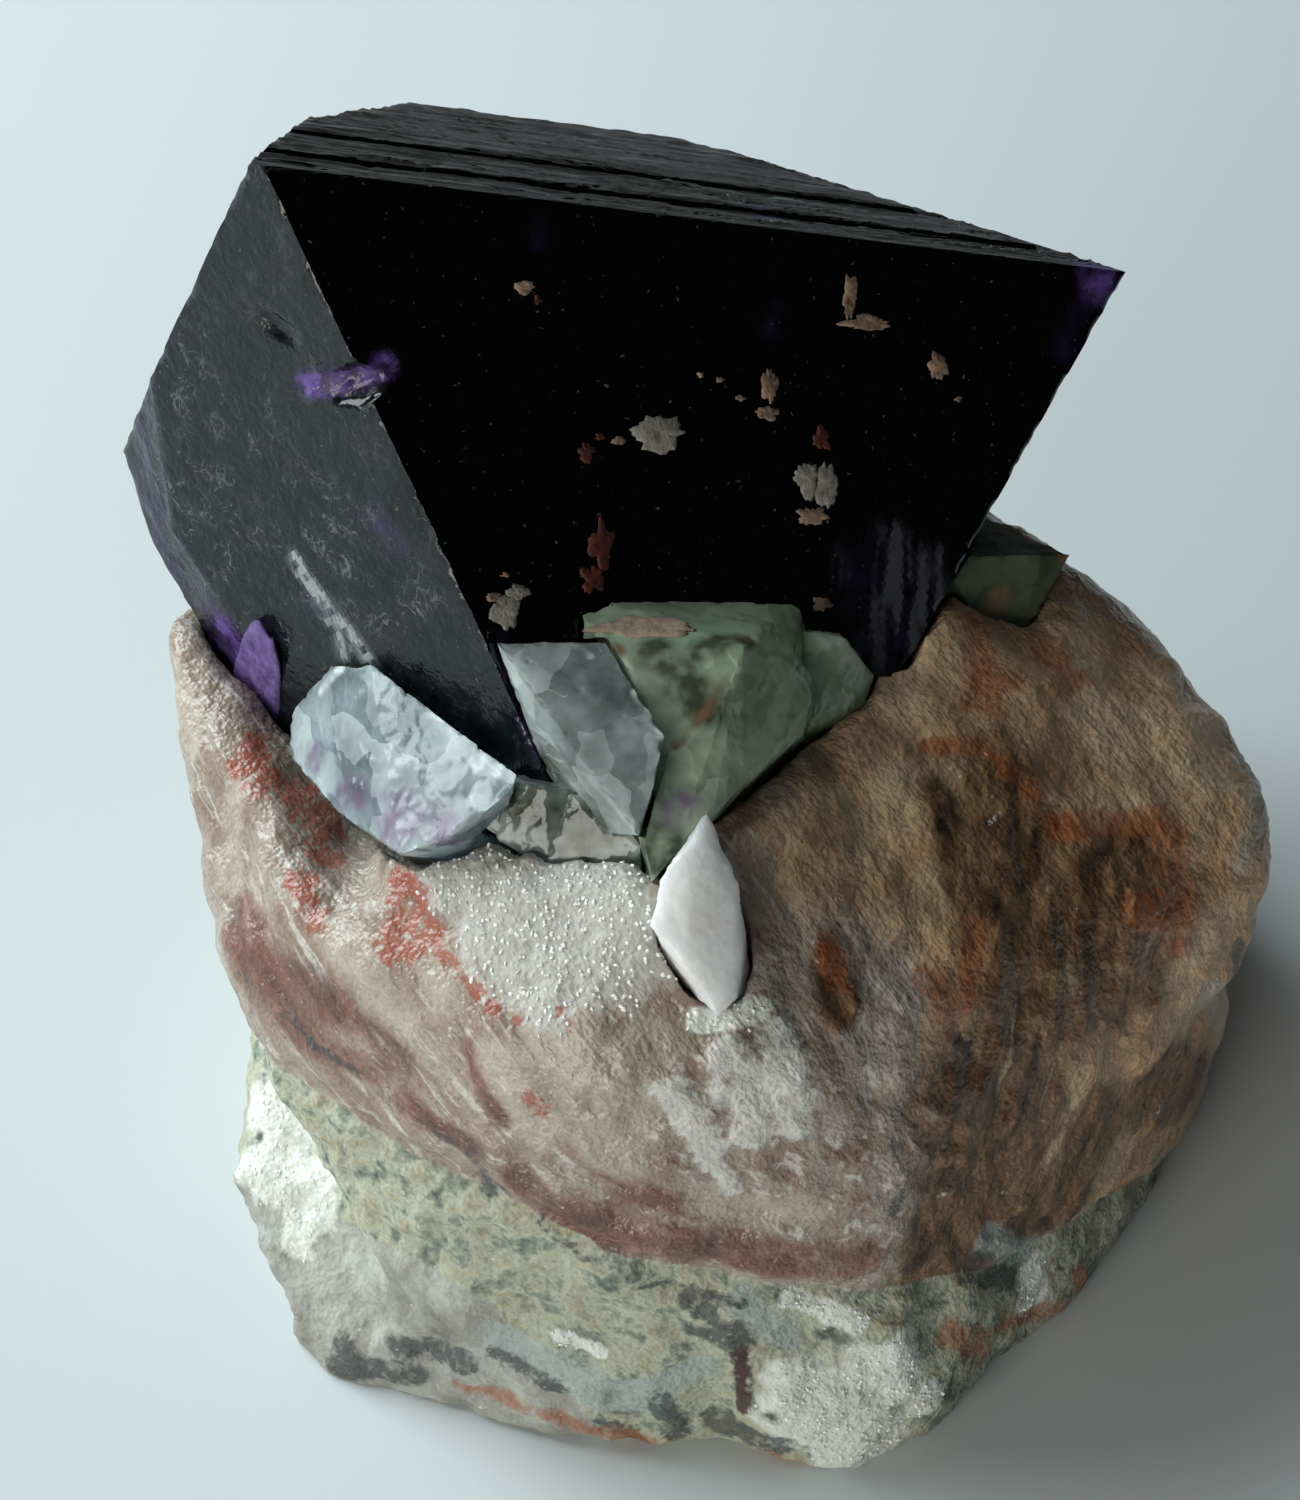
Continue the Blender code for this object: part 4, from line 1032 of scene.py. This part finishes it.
class SPECIMEN_OT_sugar_grains(bpy.types.Operator):
    """Scatters the calcite grains that stand out of the sugary zones of the rock"""
    bl_idname = "specimen.sugar_grains"
    bl_label = "Sugar Grains"

    def execute(self, context):
        settings = context.scene.specimen_rock
        mesh = bpy.data.objects["calcite_rock"].data.copy()
        sugar, white, dark = (np.empty(len(mesh.vertices), np.float32) for _ in range(3))
        for name, values in (("sugar", sugar), ("white", white), ("dark", dark)):
            mesh.attributes[name].data.foreach_get("value", values)
        above_paper = values_of(mesh.vertices, "co")[:, 2] > 0.7 * MM
        grainy = np.maximum(sugar, 0.7 * white) * (1 - dark) * above_paper
        set_attribute(mesh, "grainy", np.where(grainy > LEAST_GRAINY, grainy, 0.0))
        grains = new_object("sugar_grains", mesh)
        tree = grain_tree(sugary_calcite("white calcite grains", 0.2))
        modifier = grains.modifiers.new("sugar grains", "NODES")
        modifier.node_group = tree
        sockets = {item.name: item.identifier for item in tree.interface.items_tree if item.in_out == "INPUT"}
        modifier[sockets["Grain Size"]] = settings.grain * 0.5
        modifier[sockets["Grains per Area"]] = settings.grains
        modifier[sockets["Seed"]] = settings.seed
        settled(grains)
        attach(grains, "root")
        return {"FINISHED"}


def lay_crust(body, middle, across, upright, normal, seed, raggedness):
    """One ragged flake on a face: rings that rise to its rough top, closed below."""
    rings = []
    for share, height in CRUST_RINGS:
        ring = []
        for side in range(CRUST_SIDES):
            angle = 2 * math.pi * side / CRUST_SIDES
            way = Vector((math.cos(angle), math.sin(angle), seed * 3.7))
            coarse, finer, finest = (noise.noise(way * scale) for scale in (1.3, 3.6, 8.0))
            ragged = 1.0 + raggedness * (coarse + 0.6 * finer + 0.3 * finest)
            rough = 0.05 * noise.noise(way * 4.0 + Vector((share * 3, 0, 0)))
            point = middle + (across * way.x + upright * way.y) * share * ragged
            ring.append(body.verts.new(point + normal * (height + (rough if height > 0.05 else 0.0)) * MM))
        rings.append(ring)
    for low, high in zip(rings, rings[1:]):
        for i in range(CRUST_SIDES):
            j = (i + 1) % CRUST_SIDES
            body.faces.new((low[i], low[j], high[j], high[i]))
    bmesh.ops.triangulate(body, faces=[body.faces.new(rings[-1]), body.faces.new(reversed(rings[0]))])


class SPECIMEN_OT_face_crusts(bpy.types.Operator):
    """Lays the thin crusts of calcite, clay, rust and paler fluorite on the dark crystal's faces"""
    bl_idname = "specimen.face_crusts"
    bl_label = "Face Crusts"

    def execute(self, context):
        surface = surface_of("fluorite_octahedron", "green_fluorite")
        bodies = {kind: bmesh.new() for kind in CRUST_KINDS}
        for index, (px, py, width, height, turn, kind) in enumerate(CRUSTS):
            middle, normal = seen_at(surface, px, py)
            # Two other pixels of the picture, on the plane of the face, give the crust's own axes
            across = (on_plane(px + 6, py, middle, normal) - middle) * width / 12
            upright = (on_plane(px, py + 6, middle, normal) - middle) * height / 12
            angle = math.radians(turn)
            across, upright = (
                across * math.cos(angle) + upright * math.sin(angle),
                upright * math.cos(angle) - across * math.sin(angle),
            )
            lay_crust(bodies[kind], middle, across, upright, normal, index, CRUST_KINDS[kind][3])
        for kind, (material_name, light, dark, _, slot_name) in CRUST_KINDS.items():
            body = bodies[kind]
            bmesh.ops.recalc_face_normals(body, faces=body.faces)
            mesh = new_mesh(f"crust_{kind}", body)
            mesh.shade_smooth()
            dress(new_object(f"crust_{kind}", mesh), crust(material_name, light, dark), slot_name)
        return {"FINISHED"}


class SPECIMEN_OT_stage(bpy.types.Operator):
    """Makes the sheet of paper, the window light, the room's light and the camera"""
    bl_idname = "specimen.stage"
    bl_label = "Stage"

    def execute(self, context):
        scene = context.scene
        settings = scene.specimen_stage
        body = bmesh.new()
        bmesh.ops.create_grid(body, x_segments=2, y_segments=2, size=PAPER_HALF)
        paper = new_object("paper", new_mesh("paper", body))
        material, tree, _ = new_material("matt paper")
        solid_body(material, tree, {"Base Color": (*settings.paper, 1.0), "Roughness": PAPER_ROUGHNESS})
        paper.data.materials.append(material)

        # The room is dim: lighter on the window's side, and dark towards the right, where the crystal's face looks.
        # The camera itself sees a pale wall.
        world = bpy.data.worlds.new("dim room")
        scene.world = world
        world.use_nodes = True
        tree = world.node_tree
        tree.nodes.clear()
        way = add(tree, "ShaderNodeTexCoord").outputs["Generated"]
        parts = add(tree, "ShaderNodeSeparateXYZ", {0: way})
        toward = add(
            tree, "ShaderNodeMapRange",
            {
                "Value": parts.outputs["X"], "From Min": ROOM_RIGHT, "From Max": ROOM_LEFT, "To Min": DARK_SIDE,
                "To Max": settings.room,
            },
        )
        room = add(tree, "ShaderNodeBackground", {"Strength": toward, "Color": linear("#e6eef0")})
        pale = add(tree, "ShaderNodeBackground", {"Color": linear("#c9d2d4"), "Strength": 1.0})
        path = add(tree, "ShaderNodeLightPath")
        both = add(tree, "ShaderNodeMixShader", {0: path.outputs["Is Camera Ray"], 1: room, 2: pale})
        add(tree, "ShaderNodeOutputWorld", {"Surface": both})

        for (name, place, size, colour), power in zip(LIGHTS, (settings.window, settings.wall)):
            light = bpy.data.lights.new(name, "AREA")
            light.size = size
            light.energy = power
            light.color = linear(colour)[:3]
            lamp = new_object(name, light)
            lamp.location = place
            lamp.rotation_euler = (-lamp.location).to_track_quat("-Z", "Y").to_euler()

        camera = bpy.data.cameras.new("camera")
        camera.lens = LENS
        camera.sensor_width = SENSOR
        camera.clip_start, camera.clip_end = CLIP
        seat = new_object("camera", camera)
        seat.location = CAMERA_AT
        seat.rotation_euler = (CAMERA_TILT, 0.0, 0.0)
        scene.camera = seat
        scene.view_settings.view_transform = "Standard"
        scene.view_settings.look = "None"
        return {"FINISHED"}


class SPECIMEN_PT_panel(bpy.types.Panel):
    """The specimen's settings and pieces"""
    bl_idname = "SPECIMEN_PT_panel"
    bl_label = "Specimen"
    bl_space_type = "VIEW_3D"
    bl_region_type = "UI"
    bl_category = "Specimen"

    def draw(self, context):
        for name in SETTINGS:
            group = getattr(context.scene, name)
            box = self.layout.box()
            for setting in group.__annotations__:
                box.prop(group, setting)
        for operator in OPERATORS:
            self.layout.operator(operator.bl_idname)


OPERATORS = (
    SPECIMEN_OT_dark_octahedron,
    SPECIMEN_OT_small_fluorites,
    SPECIMEN_OT_calcite_blade,
    SPECIMEN_OT_matrix,
    SPECIMEN_OT_sugar_grains,
    SPECIMEN_OT_face_crusts,
    SPECIMEN_OT_stage,
)
SETTINGS = {
    "specimen_crystals": CrystalSettings,
    "specimen_rock": RockSettings,
    "specimen_stage": StageSettings,
}
CLASSES = (*SETTINGS.values(), *OPERATORS, SPECIMEN_PT_panel)


def register():
    for cls in CLASSES:
        bpy.utils.register_class(cls)
    for name, group in SETTINGS.items():
        setattr(bpy.types.Scene, name, PointerProperty(type=group))


def unregister():
    for name in SETTINGS:
        delattr(bpy.types.Scene, name)
    for cls in reversed(CLASSES):
        bpy.utils.unregister_class(cls)


def main():
    register()
    bpy.ops.specimen.dark_octahedron()
    bpy.ops.specimen.small_fluorites()
    bpy.ops.specimen.calcite_blade()
    bpy.ops.specimen.matrix()
    bpy.ops.specimen.sugar_grains()
    bpy.ops.specimen.face_crusts()
    bpy.ops.specimen.stage()


if __name__ == "__main__":
    main()
